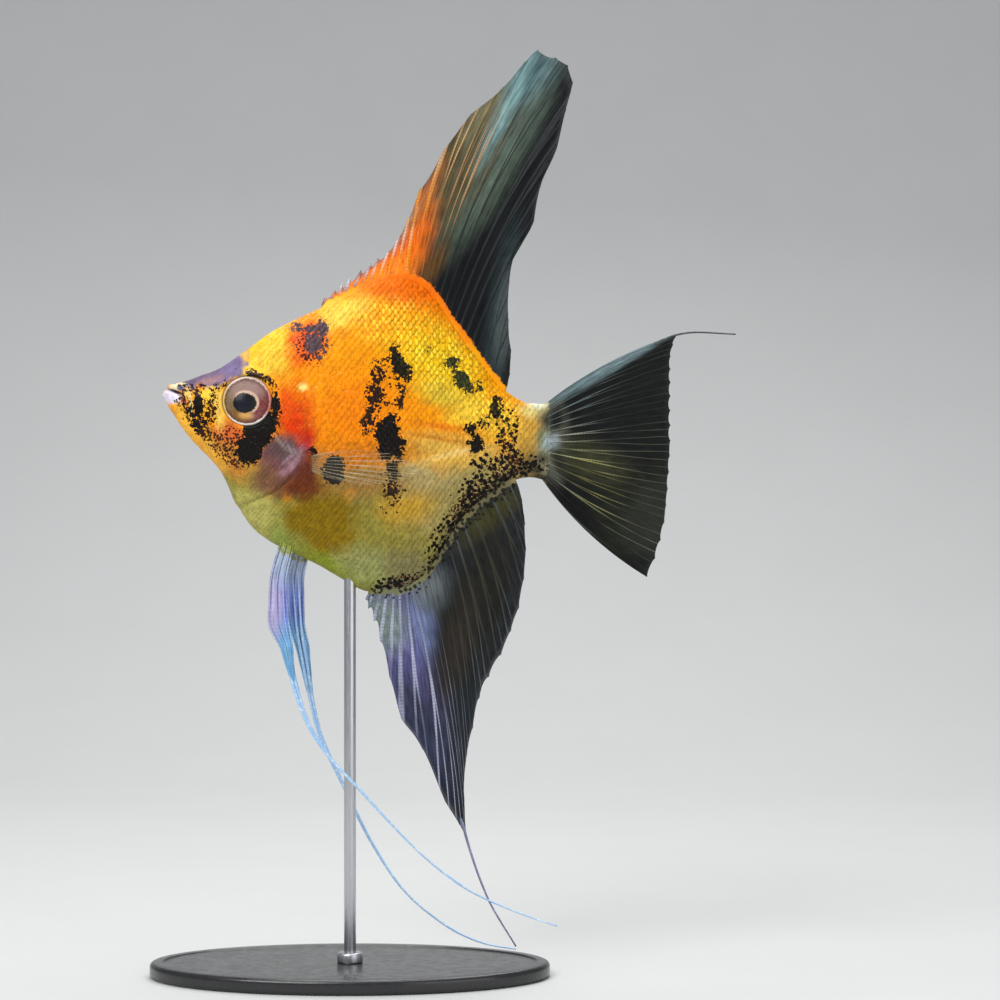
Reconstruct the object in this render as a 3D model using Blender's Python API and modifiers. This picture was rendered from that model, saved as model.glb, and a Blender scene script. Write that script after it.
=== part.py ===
"""A freshwater angelfish of the koi breed, life size, as a still model on a plain stand.

The fish faces -X and swims level, its left side towards -Y. Z = 0 is the underside
of the stand, and the stand's rod rises along the Z axis into the belly. All sizes below
are in millimetres; MM turns them into metres where the meshes are made.
"""

import math

import bmesh
import bpy
import numpy as np

MM = 0.001
GAP = 0.3
FIN_THICKNESS = 0.6

# The body seen from the side: x runs from the snout (negative) to the tail, z is up.
BACK_LINE = (
    (-37.6, 116.2), (-37.1, 117.1), (-36.2, 118.2), (-35.3, 118.7), (-33.6, 119.0),
    (-30.3, 120.2), (-26.9, 121.4), (-21.8, 124.7), (-15.5, 129.2), (-10.1, 131.9),
    (-3.6, 134.9), (2.4, 138.0), (6.4, 139.6), (11.0, 140.2), (13.8, 139.2),
    (16.4, 137.0), (19.8, 132.0), (26.0, 123.6), (30.6, 117.8), (33.0, 116.0),
    (35.6, 114.8), (39.4, 114.6),
)
BELLY_LINE = (
    (-37.6, 116.2), (-37.2, 115.2), (-36.4, 113.6), (-34.6, 110.8), (-32.8, 108.2),
    (-30.3, 105.4), (-27.9, 103.0), (-25.7, 100.2), (-23.3, 95.2), (-19.7, 89.6),
    (-16.8, 87.2), (-12.0, 84.6), (-6.8, 82.2), (-1.6, 79.2), (3.8, 76.7),
    (10.0, 76.8), (15.0, 79.8), (19.0, 85.6), (23.0, 91.6), (28.0, 95.8),
    (33.0, 99.0), (36.0, 99.5), (39.4, 98.8),
)
# Half the body's width at its widest height, and that height.
HALF_WIDTH = (
    (-37.6, 0.7), (-36.6, 1.7), (-35.3, 2.2), (-33.0, 2.8), (-29.0, 4.0),
    (-24.0, 5.2), (-20.5, 5.9), (-12.0, 6.9), (-4.0, 7.1), (5.0, 6.6),
    (15.0, 5.2), (25.0, 3.6), (33.0, 2.5), (39.4, 1.5),
)
WIDEST_HEIGHT = (
    (-37.6, 116.2), (-33.0, 114.6), (-24.0, 113.0), (-12.0, 110.0), (0.0, 108.0),
    (10.0, 107.0), (20.0, 107.5), (30.0, 107.0), (39.4, 106.7),
)
# The section is a superellipse: 2 is round, less is sharper along back and belly.
BACK_ROUNDNESS = ((-37.6, 2.1), (-20.0, 1.95), (-5.0, 1.65), (25.0, 1.6), (39.4, 1.9))
BELLY_ROUNDNESS = ((-37.6, 2.1), (-20.0, 1.95), (-5.0, 1.8), (25.0, 1.65), (39.4, 1.9))
BODY_SEGMENTS = 34
BODY_RINGS = 40
RING_CROWDING = 0.5

# Thin cuts that part the body, each a line in the side view.
JAW_CUT = ((-41.0, 117.9), (-36.0, 117.1), (-32.4, 115.4), (-31.4, 110.0), (-30.6, 100.0))
GILL_CUT = (
    (-5.5, 143.0), (-8.0, 131.0), (-9.7, 122.0), (-8.6, 115.0), (-8.0, 109.0),
    (-8.8, 104.5), (-11.2, 100.2), (-15.0, 97.0), (-20.0, 95.0), (-29.0, 92.5),
)
GILL_CUT_STEPS = 22
TRUNK_CUT_X = 6.0
TAIL_CUT_X = 29.0
STRAIGHT_CUT_TOP, STRAIGHT_CUT_FOOT = 150.0, 70.0
CHEEK_EDGE = (
    (-7.0, 120.6), (-12.8, 119.6), (-15.3, 116.0), (-15.8, 111.5), (-16.6, 106.5),
    (-18.8, 101.5), (-22.3, 97.6), (-27.0, 92.0),
)
CHEEK_STEPS = 12
GILL_COVER_DEPTH = 3.0
COVER_BLOCK_REAR_X, COVER_BLOCK_FOOT = -3.0, 85.0
CUT_REACH_Y = 12.0

EYE_X, EYE_Z = -20.4, 114.9
EYE_Y = 4.4
EYE_RADIUS = 5.6
EYE_BULGE = 2.4
EYE_SEGMENTS, EYE_RINGS = 18, 10

# Each fin is a fan of rays: where a ray leaves the body, and its tip (x, z).
DORSAL_SPINES = (
    (-5.8, -5.0, 135.9), (-4.2, -3.0, 137.2), (-2.6, -1.7, 138.7), (-1.2, -0.2, 139.9),
    (0.6, 2.1, 141.4), (2.2, 4.0, 142.8), (3.8, 5.6, 143.8), (5.6, 7.5, 145.0),
    (7.4, 9.5, 147.7), (9.4, 11.7, 151.9), (11.2, 14.0, 157.6), (12.8, 18.8, 165.4),
)
DORSAL_RAYS = (
    (14.0, 24.2, 172.6), (15.0, 30.6, 177.9), (15.8, 35.0, 183.0), (16.6, 37.6, 185.4),
    (17.6, 41.2, 183.8), (18.6, 43.6, 182.2), (19.6, 44.6, 178.8), (20.6, 43.2, 173.2),
    (21.6, 41.4, 165.6), (22.8, 38.2, 158.2), (24.0, 36.8, 151.0), (25.2, 33.2, 145.2),
    (26.8, 31.9, 138.8), (28.4, 31.7, 131.2), (29.8, 32.2, 125.2), (30.9, 32.0, 120.4),
)
DORSAL_BOW = 0.085
BACK_PEAK_X = 11.0
ANAL_SPINES = (
    (4.2, 3.2, 75.2), (5.2, 3.6, 73.4), (6.4, 4.7, 70.8), (7.6, 6.0, 66.8),
    (8.8, 7.9, 59.6), (10.0, 10.2, 51.4),
)
ANAL_RAYS = (
    (11.2, 14.4, 45.4), (12.2, 19.0, 34.8), (13.2, 21.8, 30.2), (14.2, 23.2, 27.6),
    (15.2, 22.9, 33.2), (16.2, 22.8, 37.6), (17.2, 23.4, 44.2), (18.2, 24.6, 49.6),
    (19.4, 25.9, 55.6), (20.6, 27.8, 59.8), (22.2, 30.2, 64.2), (24.0, 32.2, 69.0),
    (25.8, 33.8, 73.6), (27.8, 34.8, 79.4), (29.6, 35.2, 85.4), (31.4, 35.0, 90.4),
    (32.8, 34.4, 95.0),
)
ANAL_BOW = 0.05
FIN_ROOT_LIFT = 0.5
FIN_ROWS = 6

# A notch behind a spine: its share of the spine, its least share, the spines it fades over.
DORSAL_NOTCH = (0.72, 0.12, 8)
ANAL_NOTCH = (0.5, 0.1, 4)
NOTCH_LEAN = 0.15

TAIL_ROOT_X = 39.8
TAIL_ROOT_TOP, TAIL_ROOT_FOOT = 114.3, 99.4
TAIL_RAYS = 17
TAIL_TIP_X = ((0.0, 65.6), (0.12, 64.2), (0.45, 64.2), (0.8, 63.0), (0.92, 61.4), (1.0, 59.4))
TAIL_TIP_Z = ((0.0, 128.4), (0.12, 124.2), (0.45, 109.6), (0.8, 91.4), (0.92, 84.6), (1.0, 79.8))
TAIL_BOW_TOP, TAIL_BOW_FOOT = 0.1, -0.11

# How far each fin waves out of the fish's middle plane, and the part of a wave it holds.
DORSAL_SWAY, ANAL_SWAY, TAIL_SWAY = 2.2, 1.2, 1.4
WAVE_START, WAVE_RUN = 0.2, 1.1
WAVE_GROWTH = 1.5

# Pelvic fins: front and rear edge in the side view, and the long streamer of each.
PELVIC_LEFT_FRONT = (
    (-14.6, 84.9), (-15.8, 78.6), (-16.1, 71.1), (-13.7, 65.9), (-12.4, 61.9), (-10.7, 56.9),
)
PELVIC_LEFT_REAR = (
    (-11.9, 83.7), (-13.3, 78.6), (-12.3, 71.1), (-11.2, 65.9), (-10.9, 61.9), (-9.7, 56.9),
)
PELVIC_RIGHT_FRONT = (
    (-12.5, 83.9), (-13.5, 78.6), (-12.6, 71.1), (-11.1, 65.6), (-10.1, 61.3), (-8.9, 56.3),
)
PELVIC_RIGHT_REAR = (
    (-9.9, 82.7), (-9.5, 78.6), (-9.4, 71.1), (-8.4, 65.6), (-8.1, 61.3), (-7.7, 56.3),
)
STREAMER_LEFT = (
    (-10.1, 56.4), (-8.2, 51.2), (-4.1, 44.6), (2.8, 37.1), (10.9, 28.4), (15.7, 23.8),
    (23.8, 17.8), (33.8, 13.3), (41.3, 10.7),
)
STREAMER_RIGHT = (
    (-8.2, 55.8), (-6.5, 48.6), (-1.7, 37.9), (4.2, 26.0), (10.6, 16.5), (16.1, 11.5),
    (21.9, 7.7), (27.8, 5.5), (33.2, 4.6),
)
PELVIC_ROOT_Y, PELVIC_TIP_Y = 1.7, 4.6
# A pelvic streamer is parted at its middle, by a gap that is a share of its half's length.
STREAMER_MIDDLE = 0.5
STREAMER_HALF_LENGTH = 45.0

ANAL_STREAMER = ((23.35, 27.2), (25.0, 22.0), (27.8, 15.0), (33.2, 5.9))
TAIL_STREAMER = ((66.0, 128.5), (69.6, 128.8), (77.2, 128.4))
ANAL_STREAMER_ROOT_Y, TAIL_STREAMER_Y = 0.9, 0.8
STREAMER_RADIUS, STREAMER_TIP_RADIUS = 0.5, 0.3
STREAMER_STEPS = 9

# Pectoral fins: root on the flank and upper and lower edge in the side view.
PECTORAL_UPPER = ((-7.0, 104.0), (-2.0, 105.2), (6.0, 104.6), (14.2, 101.4))
PECTORAL_LOWER = ((-7.0, 100.8), (-2.0, 99.0), (6.0, 98.0), (14.2, 99.6))
PECTORAL_ROOT_Y = 7.4
PECTORAL_SPREAD = 2.8

BASE_LENGTH, BASE_WIDTH, BASE_THICKNESS = 80.0, 46.0, 3.0
BASE_EDGE_ROUNDING = 0.7
BASE_EDGE_DEGREES = 60
BASE_SIDES = 40
ROD_RADIUS, ROD_SIDES = 1.2, 16
ROD_HOLE_FLOOR, ROD_HOLE_CUT_TOP = 1.0, 8.0
ROD_TOP = 83.7
ROD_SOCKET_CUT_FOOT = 60.0

SHARP_FOLD_DEGREES = 35
JOIN_DISTANCE = 1e-6

ORANGE = (0.90, 0.36, 0.03)
HEAD_GREY = (0.42, 0.34, 0.30)
CREAM = (0.62, 0.56, 0.24)
IRIS_ROSE = (0.45, 0.24, 0.22)
FIN_DARK = (0.07, 0.09, 0.09)
FIN_BLUE = (0.30, 0.34, 0.62)
FIN_CLEAR = (0.62, 0.58, 0.44)
STAND_BLACK = (0.02, 0.02, 0.022)
STEEL = (0.60, 0.60, 0.60)


def clear_scene():
    """Empty the scene and give it one collection for the fish and one for cutters."""
    for old in list(bpy.data.objects):
        bpy.data.objects.remove(old, do_unlink=True)
    scene = bpy.context.scene
    made = {}
    for name in ("freshwater_angelfish", "cutters"):
        made[name] = bpy.data.collections.new(name)
        scene.collection.children.link(made[name])
    return made["freshwater_angelfish"], made["cutters"]


PARTS, CUTTERS = clear_scene()


def material(name, colour, roughness=0.4, metallic=0.0):
    """A Principled material of one colour."""
    made = bpy.data.materials.new(name)
    made.use_nodes = True
    shader = made.node_tree.nodes["Principled BSDF"]
    shader.inputs["Base Color"].default_value = (*colour, 1.0)
    shader.inputs["Roughness"].default_value = roughness
    shader.inputs["Metallic"].default_value = metallic
    return made


def smooth_function(points):
    """A smooth y(x) through the points that never overshoots them (a monotone cubic)."""
    x, y = np.array(points, float).T
    step = np.diff(x)
    slope = np.diff(y) / step
    tangent = np.zeros_like(x)
    tangent[0], tangent[-1] = slope[0], slope[-1]
    for i in range(1, len(x) - 1):
        before, after = slope[i - 1], slope[i]
        if before * after > 0:
            near, far = 2 * step[i] + step[i - 1], step[i] + 2 * step[i - 1]
            tangent[i] = (near + far) / (near / before + far / after)

    def value(at):
        at = min(max(at, x[0]), x[-1])
        i = int(np.clip(np.searchsorted(x, at) - 1, 0, len(step) - 1))
        t = (at - x[i]) / step[i]
        return float(
            (1 + 2 * t) * (1 - t) ** 2 * y[i]
            + t * (1 - t) ** 2 * step[i] * tangent[i]
            + t * t * (3 - 2 * t) * y[i + 1]
            + t * t * (t - 1) * step[i] * tangent[i + 1]
        )

    return value


def smooth_path(points):
    """A smooth curve through points of the side view, as a function of 0 to 1."""
    stations = np.linspace(0.0, 1.0, len(points))
    run_x = smooth_function([(s, p[0]) for s, p in zip(stations, points)])
    run_z = smooth_function([(s, p[1]) for s, p in zip(stations, points)])
    return lambda t: np.array((run_x(t), run_z(t)))


BACK, BELLY = smooth_function(BACK_LINE), smooth_function(BELLY_LINE)
WIDTH, WIDEST = smooth_function(HALF_WIDTH), smooth_function(WIDEST_HEIGHT)
BACK_POWER, BELLY_POWER = smooth_function(BACK_ROUNDNESS), smooth_function(BELLY_ROUNDNESS)


def section_point(x, across, up):
    """A point of the body's skin: across and up are the cosine and sine round its section."""
    height = (BACK(x) if up > 0 else BELLY(x)) - WIDEST(x)
    power = 2.0 / (BACK_POWER(x) if up > 0 else BELLY_POWER(x))
    y = math.copysign(WIDTH(x) * abs(across) ** power, across)
    return x, y, WIDEST(x) + height * abs(up) ** power


def object_from(name, mesh, look=None, collection=PARTS):
    """A named object for a mesh, shaded smooth with sharp folds kept."""
    made = bpy.data.objects.new(name, mesh)
    mesh.name = name
    collection.objects.link(made)
    if look:
        mesh.materials.clear()
        mesh.materials.append(look)
        mesh.shade_smooth()
        mesh.set_sharp_from_angle(angle=math.radians(SHARP_FOLD_DEGREES))
    return made


def take_primitive(name, look=None, collection=PARTS):
    """The primitive that was just added, as a named object in a collection."""
    made = bpy.context.object
    mesh = made.data
    matrix = made.matrix_world.copy()
    bpy.data.objects.remove(made)
    mesh.transform(matrix)
    if collection is CUTTERS:
        face_outwards(mesh)
    return object_from(name, mesh, look, collection)


def face_outwards(mesh):
    """Split every face of a closed mesh into flat triangles that point out."""
    work = bmesh.new()
    work.from_mesh(mesh)
    bmesh.ops.triangulate(work, faces=work.faces)
    bmesh.ops.recalc_face_normals(work, faces=work.faces)
    work.to_mesh(mesh)
    work.free()


def as_cutter(made):
    """Mark an object as a tool for cutting."""
    made.hide_render = True
    made.display_type = "WIRE"
    return made


def evaluated_mesh(made):
    """The object's mesh with its modifiers applied."""
    bpy.context.view_layer.update()
    graph = bpy.context.evaluated_depsgraph_get()
    return bpy.data.meshes.new_from_object(made.evaluated_get(graph))


def boolean(target, other, operation="DIFFERENCE"):
    """Cut one mesh with another at once, and leave its faces pointing out."""
    cut = target.modifiers.new(other.name, "BOOLEAN")
    cut.operation = operation
    cut.object = other
    cut.solver = "EXACT"
    mesh = evaluated_mesh(target)
    target.modifiers.clear()
    face_outwards(mesh)
    target.data = mesh


def whole_body():
    """The body from lips to tail root: a sphere whose rings become the body's sections."""
    bpy.ops.mesh.primitive_uv_sphere_add(
        segments=BODY_SEGMENTS, ring_count=BODY_RINGS, radius=1.0
    )
    body = as_cutter(take_primitive("whole_body", collection=CUTTERS))
    snout, tail = BACK_LINE[0][0], BACK_LINE[-1][0]
    for vertex in body.data.vertices:
        round_x, round_y, pole = vertex.co
        crowded = (1 - pole) / 2
        even = math.acos(max(-1.0, min(1.0, pole))) / math.pi
        x = snout + (tail - snout) * (
            RING_CROWDING * crowded + (1 - RING_CROWDING) * even
        )
        radius = math.hypot(round_x, round_y)
        if radius < 1e-5:
            point = (x, 0.0, WIDEST(x))
        else:
            point = section_point(x, round_x / radius, round_y / radius)
        vertex.co = [side * MM for side in point]
    face_outwards(body.data)
    return body


def blade(name, line, steps=0):
    """A cutting ribbon as thin as a gap, along a line of the side view and right across."""
    if steps:
        path = smooth_path(line)
        line = [path(i / steps) for i in range(steps + 1)]
    bpy.ops.mesh.primitive_grid_add(x_subdivisions=len(line) - 1, y_subdivisions=1, size=2)
    made = as_cutter(take_primitive(name, collection=CUTTERS))
    for vertex in made.data.vertices:
        station = round((vertex.co.x + 1) / 2 * (len(line) - 1))
        side = math.copysign(CUT_REACH_Y, vertex.co.y)
        vertex.co = [part * MM for part in (line[station][0], side, line[station][1])]
    thick = made.modifiers.new("thickness", "SOLIDIFY")
    thick.thickness = GAP * MM
    thick.offset = 0.0
    thick.use_even_offset = True
    made_solid = as_cutter(object_from(name + "_solid", evaluated_mesh(made), None, CUTTERS))
    face_outwards(made_solid.data)
    bpy.data.objects.remove(made)
    return made_solid


def loose_pieces(mesh):
    """The separate bodies of a mesh, from the front of the fish to its tail."""
    work = bmesh.new()
    work.from_mesh(mesh)
    waiting, pieces = set(work.verts), []
    while waiting:
        group, edge = set(), [waiting.pop()]
        while edge:
            vertex = edge.pop()
            group.add(vertex)
            for link in vertex.link_edges:
                other = link.other_vert(vertex)
                if other in waiting:
                    waiting.discard(other)
                    edge.append(other)
        pieces.append(group)
    made = []
    for group in pieces:
        middle = sum(v.co.x for v in group) / len(group)
        part = work.copy()
        part.verts.ensure_lookup_table()
        kept = {v.index for v in group}
        bmesh.ops.delete(
            part, geom=[v for v in part.verts if v.index not in kept], context="VERTS"
        )
        bmesh.ops.recalc_face_normals(part, faces=part.faces)
        piece = bpy.data.meshes.new("piece")
        part.to_mesh(piece)
        part.free()
        made.append((middle, piece))
    work.free()
    return [piece for _, piece in sorted(made, key=lambda pair: pair[0])]


def parted_body():
    """The body parted by thin cuts into jaw, head, two lengths of trunk and tail stock."""
    body = whole_body()
    top, foot = STRAIGHT_CUT_TOP, STRAIGHT_CUT_FOOT
    for cutter in (
        blade("jaw_cut", JAW_CUT),
        blade("gill_cut", GILL_CUT, steps=GILL_CUT_STEPS),
        blade("trunk_cut", ((TRUNK_CUT_X, top), (TRUNK_CUT_X, foot))),
        blade("tail_cut", ((TAIL_CUT_X, top), (TAIL_CUT_X, foot))),
    ):
        boolean(body, cutter)
    names = ("lower_jaw", "head", "trunk_front", "trunk_rear", "tail_stock")
    looks = {"lower_jaw": CREAM, "head": HEAD_GREY}
    pieces = loose_pieces(evaluated_mesh(body))
    return {
        name: object_from(name, piece, material(name, looks.get(name, ORANGE)))
        for name, piece in zip(names, pieces, strict=True)
    }


def gill_cover_cutter(name, side, inset):
    """A block that holds the gill cover of one side: behind the cheek, outside the core."""
    path = smooth_path(CHEEK_EDGE)
    edge = []
    for i in range(CHEEK_STEPS + 1):
        t = i / CHEEK_STEPS
        run = path(min(1.0, t + 0.01)) - path(max(0.0, t - 0.01))
        inward = np.array((-run[1], run[0])) / np.linalg.norm(run)
        edge.append(path(t) + inset * inward)
    rear_x, foot = COVER_BLOCK_REAR_X, COVER_BLOCK_FOOT
    outline = [(rear_x, edge[0][1]), *edge, (rear_x, foot)]
    curve = bpy.data.curves.new(name, "CURVE")
    curve.dimensions = "2D"
    curve.fill_mode = "BOTH"
    inner = GILL_COVER_DEPTH + inset
    curve.extrude = (CUT_REACH_Y - inner) / 2 * MM
    spline = curve.splines.new("POLY")
    spline.points.add(len(outline) - 1)
    for point, (x, z) in zip(spline.points, outline):
        point.co = (x * MM, z * MM, 0.0, 1.0)
    spline.use_cyclic_u = True
    flat = bpy.data.objects.new(name + "_outline", curve)
    CUTTERS.objects.link(flat)
    flat.rotation_euler = (math.radians(90), 0.0, 0.0)
    flat.location = (0.0, side * (CUT_REACH_Y + inner) / 2 * MM, 0.0)
    mesh = evaluated_mesh(flat)
    mesh.transform(flat.matrix_world)
    bpy.data.objects.remove(flat)
    work = bmesh.new()
    work.from_mesh(mesh)
    bmesh.ops.remove_doubles(work, verts=work.verts, dist=JOIN_DISTANCE)
    bmesh.ops.recalc_face_normals(work, faces=work.faces)
    work.to_mesh(mesh)
    work.free()
    return as_cutter(object_from(name, mesh, None, CUTTERS))


def ellipsoid(name, side, grow, look=None, collection=PARTS):
    """One eye, or the socket that it sits in when it is grown by a gap."""
    bpy.ops.mesh.primitive_uv_sphere_add(
        segments=EYE_SEGMENTS,
        ring_count=EYE_RINGS,
        radius=1.0,
        location=(EYE_X * MM, side * EYE_Y * MM, EYE_Z * MM),
        rotation=(math.radians(90), 0.0, 0.0),
        scale=((EYE_RADIUS + grow) * MM, (EYE_RADIUS + grow) * MM, (EYE_BULGE + grow) * MM),
    )
    return take_primitive(name, look, collection)


def dress_head(head):
    """Cut both eye sockets and both gill covers from the head, and make the eyes."""
    sides = (("left", -1), ("right", 1))
    for word, side in sides:
        boolean(head, as_cutter(ellipsoid(f"socket_{word}", side, GAP, None, CUTTERS)))
        ellipsoid(f"eye_{word}", side, 0.0, material(f"eye_{word}", IRIS_ROSE, 0.15))
    for word, side in sides:
        look = material(f"gill_cover_{word}", ORANGE)
        cover = object_from(f"gill_cover_{word}", head.data.copy(), look)
        boolean(cover, gill_cover_cutter(f"cover_block_{word}", side, GAP), "INTERSECT")
        boolean(head, gill_cover_cutter(f"cover_pocket_{word}", side, 0.0))


def fan(name, roots, tips, bows, sway, look):
    """A fin: a thin sheet between its root line and its ray tips, each ray a bowed curve."""
    columns = len(roots)
    bpy.ops.mesh.primitive_grid_add(
        x_subdivisions=columns - 1, y_subdivisions=FIN_ROWS, size=2
    )
    made = take_primitive(name, look)
    for vertex in made.data.vertices:
        column = round((vertex.co.x + 1) / 2 * (columns - 1))
        along = (vertex.co.y + 1) / 2
        root, tip = np.array(roots[column]), np.array(tips[column])
        ray = tip - root
        middle = (root + tip) / 2 + bows[column] * np.array((-ray[1], ray[0]))
        x, z = (1 - along) ** 2 * root + 2 * along * (1 - along) * middle + along**2 * tip
        turn = math.pi * (WAVE_START + WAVE_RUN * column / columns)
        wave = sway * along**WAVE_GROWTH * math.sin(turn)
        vertex.co = (x * MM, wave * MM, z * MM)
    thick = made.modifiers.new("thickness", "SOLIDIFY")
    thick.thickness = FIN_THICKNESS * MM
    thick.offset = 0.0
    return made


def notched(spines, rays, notch):
    """Ray rows with a notch of membrane set back behind each free spine tip."""
    rows = list(spines) + list(rays)
    made = []
    for i, (root, tip_x, tip_z) in enumerate(rows):
        made.append((root, tip_x, tip_z))
        if i < len(spines) - 1:
            next_root, next_x, next_z = rows[i + 1]
            middle_root = (root + next_root) / 2
            depth = notch(i, middle_root, tip_z)
            middle_x = (tip_x + next_x) / 2 - NOTCH_LEAN
            made.append((middle_root, middle_x, (tip_z + next_z) / 2 - depth))
    return made


def dorsal_fin():
    """The tall back fin: a saw of short spines, then a high swept blade and a rear lobe."""

    def notch(i, root, tip_z):
        share, least, fade = DORSAL_NOTCH
        return share * (tip_z - BACK(root)) * max(least, 1 - i / fade)

    rows = notched(DORSAL_SPINES, DORSAL_RAYS, notch)
    roots = [(x, BACK(x) + FIN_ROOT_LIFT) for x, _, _ in rows]
    tips = [(x, z) for _, x, z in rows]
    longest = max(z for _, z in tips) - BACK(BACK_PEAK_X)
    bows = [
        DORSAL_BOW * min(1.0, math.dist(root, tip) / longest) for root, tip in zip(roots, tips)
    ]
    return fan("dorsal_fin", roots, tips, bows, DORSAL_SWAY, material("dorsal_fin", FIN_DARK))


def anal_fin():
    """The fin under the tail: a mirror of the dorsal fin, drawn out to a point below."""

    def notch(i, root, tip_z):
        share, least, fade = ANAL_NOTCH
        return -share * (BELLY(root) - tip_z) * max(least, 1 - i / fade)

    rows = notched(ANAL_SPINES, ANAL_RAYS, notch)
    roots = [(x, BELLY(x) - FIN_ROOT_LIFT) for x, _, _ in rows]
    tips = [(x, z) for _, x, z in rows]
    bows = [ANAL_BOW if x > ANAL_RAYS[0][0] else 0.0 for x, _, _ in rows]
    return fan("anal_fin", roots, tips, bows, ANAL_SWAY, material("anal_fin", FIN_DARK))


def tail_fin():
    """The tail fan, with its upper corner drawn out."""
    tip_x, tip_z = smooth_function(TAIL_TIP_X), smooth_function(TAIL_TIP_Z)
    steps = np.linspace(0.0, 1.0, TAIL_RAYS)
    roots = [
        (TAIL_ROOT_X, TAIL_ROOT_TOP + (TAIL_ROOT_FOOT - TAIL_ROOT_TOP) * t) for t in steps
    ]
    tips = [(tip_x(t), tip_z(t)) for t in steps]
    bows = [TAIL_BOW_TOP + (TAIL_BOW_FOOT - TAIL_BOW_TOP) * t for t in steps]
    return fan("tail_fin", roots, tips, bows, TAIL_SWAY, material("tail_fin", FIN_DARK))


def strip(name, first_edge, second_edge, depth, look, steps=12):
    """A narrow fin: a thin sheet between two edges, at a depth given along its length."""
    first, second = smooth_path(first_edge), smooth_path(second_edge)
    bpy.ops.mesh.primitive_grid_add(x_subdivisions=steps, y_subdivisions=3, size=2)
    made = take_primitive(name, look)
    for vertex in made.data.vertices:
        along, across = (vertex.co.x + 1) / 2, (vertex.co.y + 1) / 2
        x, z = first(along) * (1 - across) + second(along) * across
        vertex.co = (x * MM, depth(along) * MM, z * MM)
    thick = made.modifiers.new("thickness", "SOLIDIFY")
    thick.thickness = FIN_THICKNESS * MM
    thick.offset = 0.0
    return made


def streamer(name, route, depth, look, start=0.0, end=1.0):
    """A length of a thin round filament along a route, tapering to the route's end."""
    path = smooth_path(route)
    curve = bpy.data.curves.new(name, "CURVE")
    curve.dimensions = "3D"
    curve.bevel_depth = STREAMER_RADIUS * MM
    curve.bevel_resolution = 1
    curve.use_fill_caps = True
    spline = curve.splines.new("POLY")
    spline.points.add(STREAMER_STEPS - 1)
    for i, point in enumerate(spline.points):
        t = start + (end - start) * i / (STREAMER_STEPS - 1)
        x, z = path(t)
        point.co = (x * MM, depth(t) * MM, z * MM, 1.0)
        point.radius = 1 + (STREAMER_TIP_RADIUS / STREAMER_RADIUS - 1) * t
    made = bpy.data.objects.new(name, curve)
    curve.materials.append(look)
    PARTS.objects.link(made)
    return made


def pelvic_fins():
    """The two pelvic fins under the throat, each ending in a long trailing streamer."""
    parting = GAP / 2 / STREAMER_HALF_LENGTH
    for word, side, front, rear, route in (
        ("left", -1, PELVIC_LEFT_FRONT, PELVIC_LEFT_REAR, STREAMER_LEFT),
        ("right", 1, PELVIC_RIGHT_FRONT, PELVIC_RIGHT_REAR, STREAMER_RIGHT),
    ):
        look = material(f"pelvic_fin_{word}", FIN_BLUE)

        def blade_depth(t, side=side):
            return side * (PELVIC_ROOT_Y + (PELVIC_TIP_Y - PELVIC_ROOT_Y) * t)

        def streamer_depth(t, side=side):
            return side * PELVIC_TIP_Y

        strip(f"pelvic_fin_{word}", front, rear, blade_depth, look)
        name = f"pelvic_streamer_{word}"
        middle = STREAMER_MIDDLE
        streamer(f"{name}_upper", route, streamer_depth, look, 0.0, middle - parting)
        streamer(f"{name}_lower", route, streamer_depth, look, middle + parting, 1.0)


def pectoral_fins():
    """The clear side fins behind the gill covers, held back and a little out."""
    for word, side in (("left", -1), ("right", 1)):

        def depth(t, side=side):
            return side * (PECTORAL_ROOT_Y + PECTORAL_SPREAD * t)

        look = material(f"pectoral_fin_{word}", FIN_CLEAR)
        strip(f"pectoral_fin_{word}", PECTORAL_UPPER, PECTORAL_LOWER, depth, look, steps=9)


def rod_cylinder(name, radius, low, high, look=None, collection=PARTS):
    """An upright cylinder on the Z axis."""
    bpy.ops.mesh.primitive_cylinder_add(
        vertices=ROD_SIDES,
        radius=radius * MM,
        depth=(high - low) * MM,
        location=(0.0, 0.0, (low + high) / 2 * MM),
    )
    return take_primitive(name, look, collection)


def stand(trunk):
    """An oval foot and one thin rod, seated in a hole in the foot and a socket in the belly."""
    bpy.ops.mesh.primitive_cylinder_add(
        vertices=BASE_SIDES,
        radius=0.5,
        depth=1.0,
        location=(0.0, 0.0, BASE_THICKNESS / 2 * MM),
        scale=(BASE_LENGTH * MM, BASE_WIDTH * MM, BASE_THICKNESS * MM),
    )
    base = take_primitive("stand_base", material("stand_base", STAND_BLACK, 0.3))
    edge = base.modifiers.new("rounded_edge", "BEVEL")
    edge.width = BASE_EDGE_ROUNDING * MM
    edge.segments = 2
    edge.limit_method = "ANGLE"
    edge.angle_limit = math.radians(BASE_EDGE_DEGREES)
    wide, low, high = ROD_RADIUS + GAP, ROD_HOLE_FLOOR, ROD_HOLE_CUT_TOP
    boolean(base, as_cutter(rod_cylinder("rod_hole", wide, low, high, None, CUTTERS)))
    steel = material("stand_rod", STEEL, 0.3, 1.0)
    rod_cylinder("stand_rod", ROD_RADIUS, ROD_HOLE_FLOOR + GAP, ROD_TOP, steel)
    low, high = ROD_SOCKET_CUT_FOOT, ROD_TOP + GAP
    boolean(trunk, as_cutter(rod_cylinder("rod_socket", wide, low, high, None, CUTTERS)))


def main():
    """Build the fish and its stand."""
    body = parted_body()
    dress_head(body["head"])
    dorsal_fin()
    anal_fin()
    tail_fin()
    look = material("streamers", FIN_BLUE)
    streamer("anal_streamer", ANAL_STREAMER, lambda t: ANAL_STREAMER_ROOT_Y * (1 - t), look)
    streamer("tail_streamer", TAIL_STREAMER, lambda t: TAIL_STREAMER_Y, look)
    pelvic_fins()
    pectoral_fins()
    stand(body["trunk_front"])


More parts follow.
